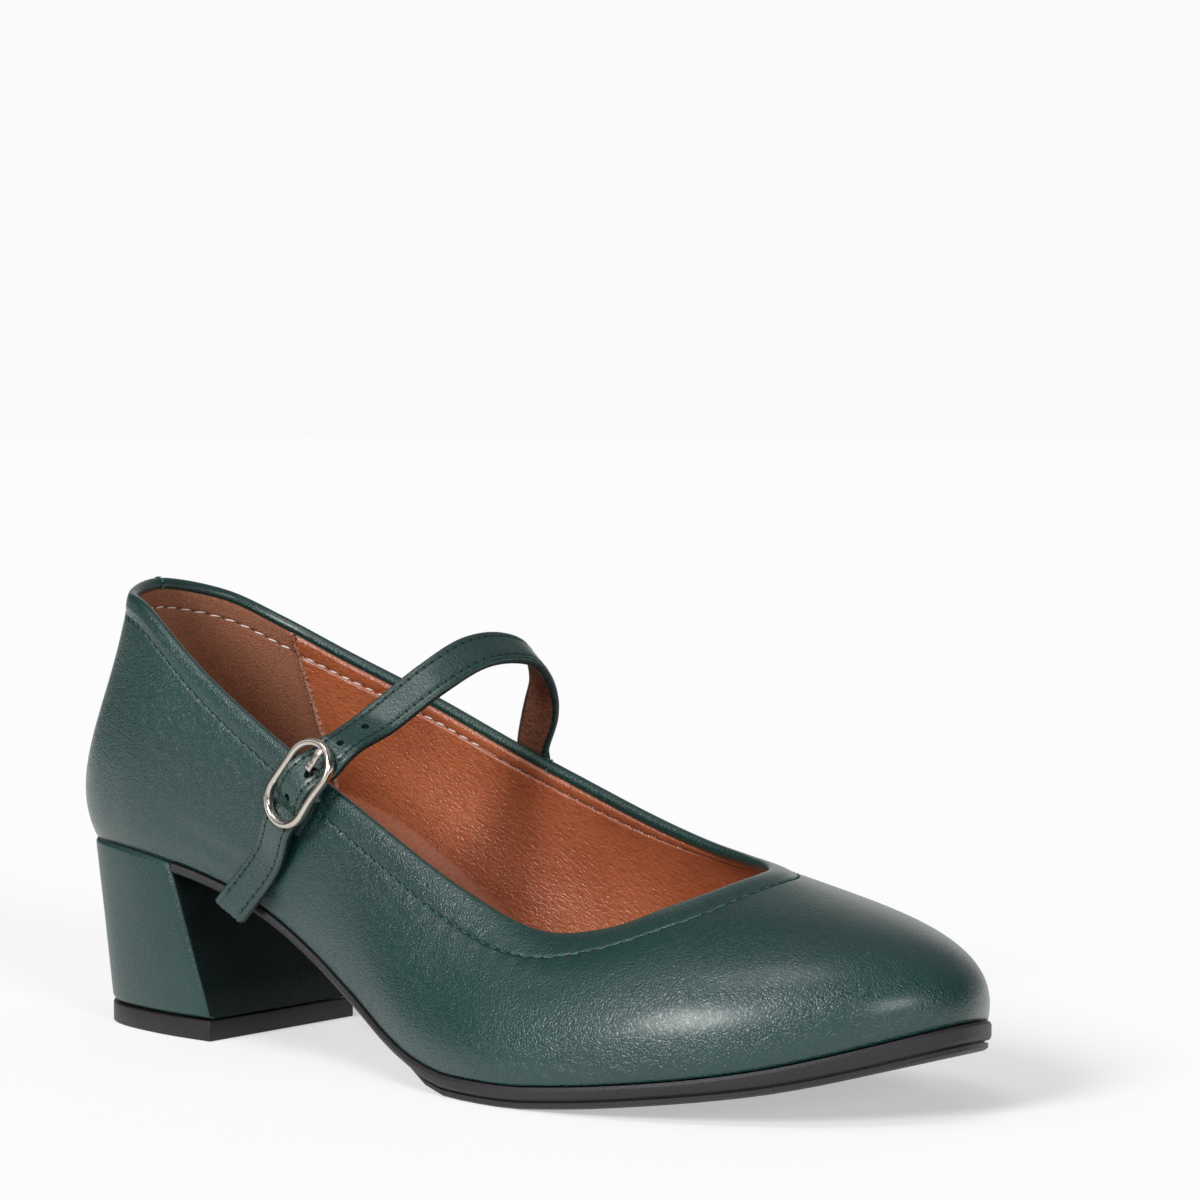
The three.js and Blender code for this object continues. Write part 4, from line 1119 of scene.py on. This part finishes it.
oval_half_width = (BUCKLE_OPENING + BUCKLE_BAR) / 2
oval_half_length = (BUCKLE_LENGTH - BUCKLE_BAR) / 2
straight = oval_half_length - oval_half_width
turns = np.linspace(-math.pi / 2, math.pi / 2, 33)
right_arc = np.stack([straight + oval_half_width * np.cos(turns),
                      oval_half_width * np.sin(turns)], -1)
left_arc = -right_arc
sides = np.linspace(straight, -straight, 14)[1:-1]
oval = np.concatenate([right_arc, np.stack([sides, np.full(12, oval_half_width)], -1), left_arc,
                       np.stack([-sides, np.full(12, -oval_half_width)], -1)])
waist = 1.0 - 0.035 * np.exp(-(oval[:, 0] / 4.0)**2)
bow = 0.45 - 0.9 * (oval[:, 0] / oval_half_length)**2
ring_middle = in_buckle(oval[:, 0], oval[:, 1] * waist, BUCKLE_STAND_OFF + bow)
ring_tangent = unit(np.roll(ring_middle, -1, 0) - np.roll(ring_middle, 1, 0))
ring_out = np.repeat(buckle_out[None], len(oval), 0)
ring_across = unit(np.cross(ring_tangent, ring_out))
ring_face = np.cross(ring_across, ring_tangent)
angles = np.linspace(0, 2 * math.pi, 20, endpoint=False)


def squared_oval(half_width, half_height, width_power, height_power):
    """An oval section whose sides are flatter the smaller the powers are."""
    wide, high = np.cos(angles), np.sin(angles)
    return np.stack([half_width * np.sign(wide) * np.abs(wide)**width_power,
                     half_height * np.sign(high) * np.abs(high)**height_power], -1)


ring_section = squared_oval(0.90, 1.15, 0.8, 0.85)
ring = swept("buckle_ring", ring_middle, ring_across, ring_face, ring_section, closed=True)
smooth(ring)
ring.data.materials.append(metal)

bar_half = oval_half_width * 0.965
bar_end = [(bar_half, BUCKLE_STAND_OFF - 0.3), (bar_half, BUCKLE_STAND_OFF - 1.4),
           (bar_half - 0.25, BAR_HEIGHT + 0.5), (bar_half - 1.1, BAR_HEIGHT), (2.0, BAR_HEIGHT)]
bar_line = np.array([(-across, out) for across, out in bar_end] + bar_end[::-1])
bar_points = in_buckle(np.zeros(len(bar_line)), bar_line[:, 0], bar_line[:, 1])
bar_dense, bar_faces = flowing_line(bar_points, np.repeat(buckle_long[None], len(bar_points), 0), 6)
bar_tangent, bar_across, bar_face = carried_frames(bar_dense, bar_faces)
bar_section = squared_oval(0.68, 0.68, 1.0, 1.0)
bar = swept("buckle_bar", bar_dense, bar_across, bar_face, bar_section)
smooth(bar, 60)
bar.data.materials.append(metal)
deselect_all()
bar.select_set(True)
ring.select_set(True)
bpy.context.view_layer.objects.active = ring
bpy.ops.object.join()
ring.name = "buckle_ring"
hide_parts("buckle_frame")
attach(ring, "root")

# Prong: a flat stamped tongue whose eye is rolled round the centre bar; its tip lies on the ring.
PRONG_EYE = 1.15
eye_turns = np.radians(np.arange(-150, 61, 15))
rest = BUCKLE_STAND_OFF + 1.15 + 0.45
prong_path = [(PRONG_EYE * math.sin(a), BAR_HEIGHT + PRONG_EYE * math.cos(a)) for a in eye_turns]
tip_path = [(2.2, BAR_HEIGHT + 1.6), (3.6, STRAP_OVER_BAR - 1.1), (4.7, STRAP_OVER_BAR + 0.9),
            (6.4, rest - 0.55), (8.2, rest - 0.35), (9.6, rest - 0.62), (10.1, rest - 0.80)]
prong_line = np.array(prong_path + tip_path)
prong_aside = PRONG_ASIDE * np.clip(prong_line[:, 0] / 2.5, 0, 1)
prong_points = in_buckle(prong_line[:, 0], prong_aside, prong_line[:, 1])
prong_dense, _ = flowing_line(prong_points, prong_points, 4)
prong_tangent = unit(np.gradient(prong_dense, axis=0))
prong_across = np.repeat(buckle_across[None], len(prong_dense), 0)
prong_across = unit(prong_across - prong_tangent * np.sum(prong_across * prong_tangent, 1)[:, None])
prong_face = np.cross(prong_across, prong_tangent)
taper = np.interp(np.linspace(0, 1, len(prong_dense)), [0, 0.5, 0.85, 0.97, 1.0],
                  [1.0, 1.0, 0.95, 0.85, 0.45])
prong_section = squared_oval(1.0, 0.42, 0.6, 0.7)
prong_sections = prong_section[None] * np.stack([taper, np.ones(len(taper))], -1)[:, None]
prong = swept("buckle_tongue", prong_dense, prong_across, prong_face, prong_sections)
smooth(prong, 50)
prong.data.materials.append(metal)
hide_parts("buckle_prong")
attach(prong, "root")

# Keeper: dark ribbed elastic, folded round the centre bar and sewn flat to the upper's outside.
elastic, elastic_tree, elastic_shader = new_material("ribbed_elastic")
elastic_place = object_coordinates(elastic_tree)
knit = noise(elastic_tree, 1500.0, 3.0, 0.6, elastic_place)
knit_colour = ramp(elastic_tree, knit.outputs["Fac"],
                   [(0.35, (0.004, 0.011, 0.011)), (0.7, (0.014, 0.032, 0.031))])
feed(elastic_tree, elastic_shader, {"Base Color": knit_colour, "Roughness": 0.85})
bumped(elastic_tree, elastic_shader, knit.outputs["Fac"], strength=0.6, depth=0.08)
keeper = cad_copy("elastic_keeper", "elastic_loop")
keeper.data.materials.append(elastic)
smooth(keeper, 40)
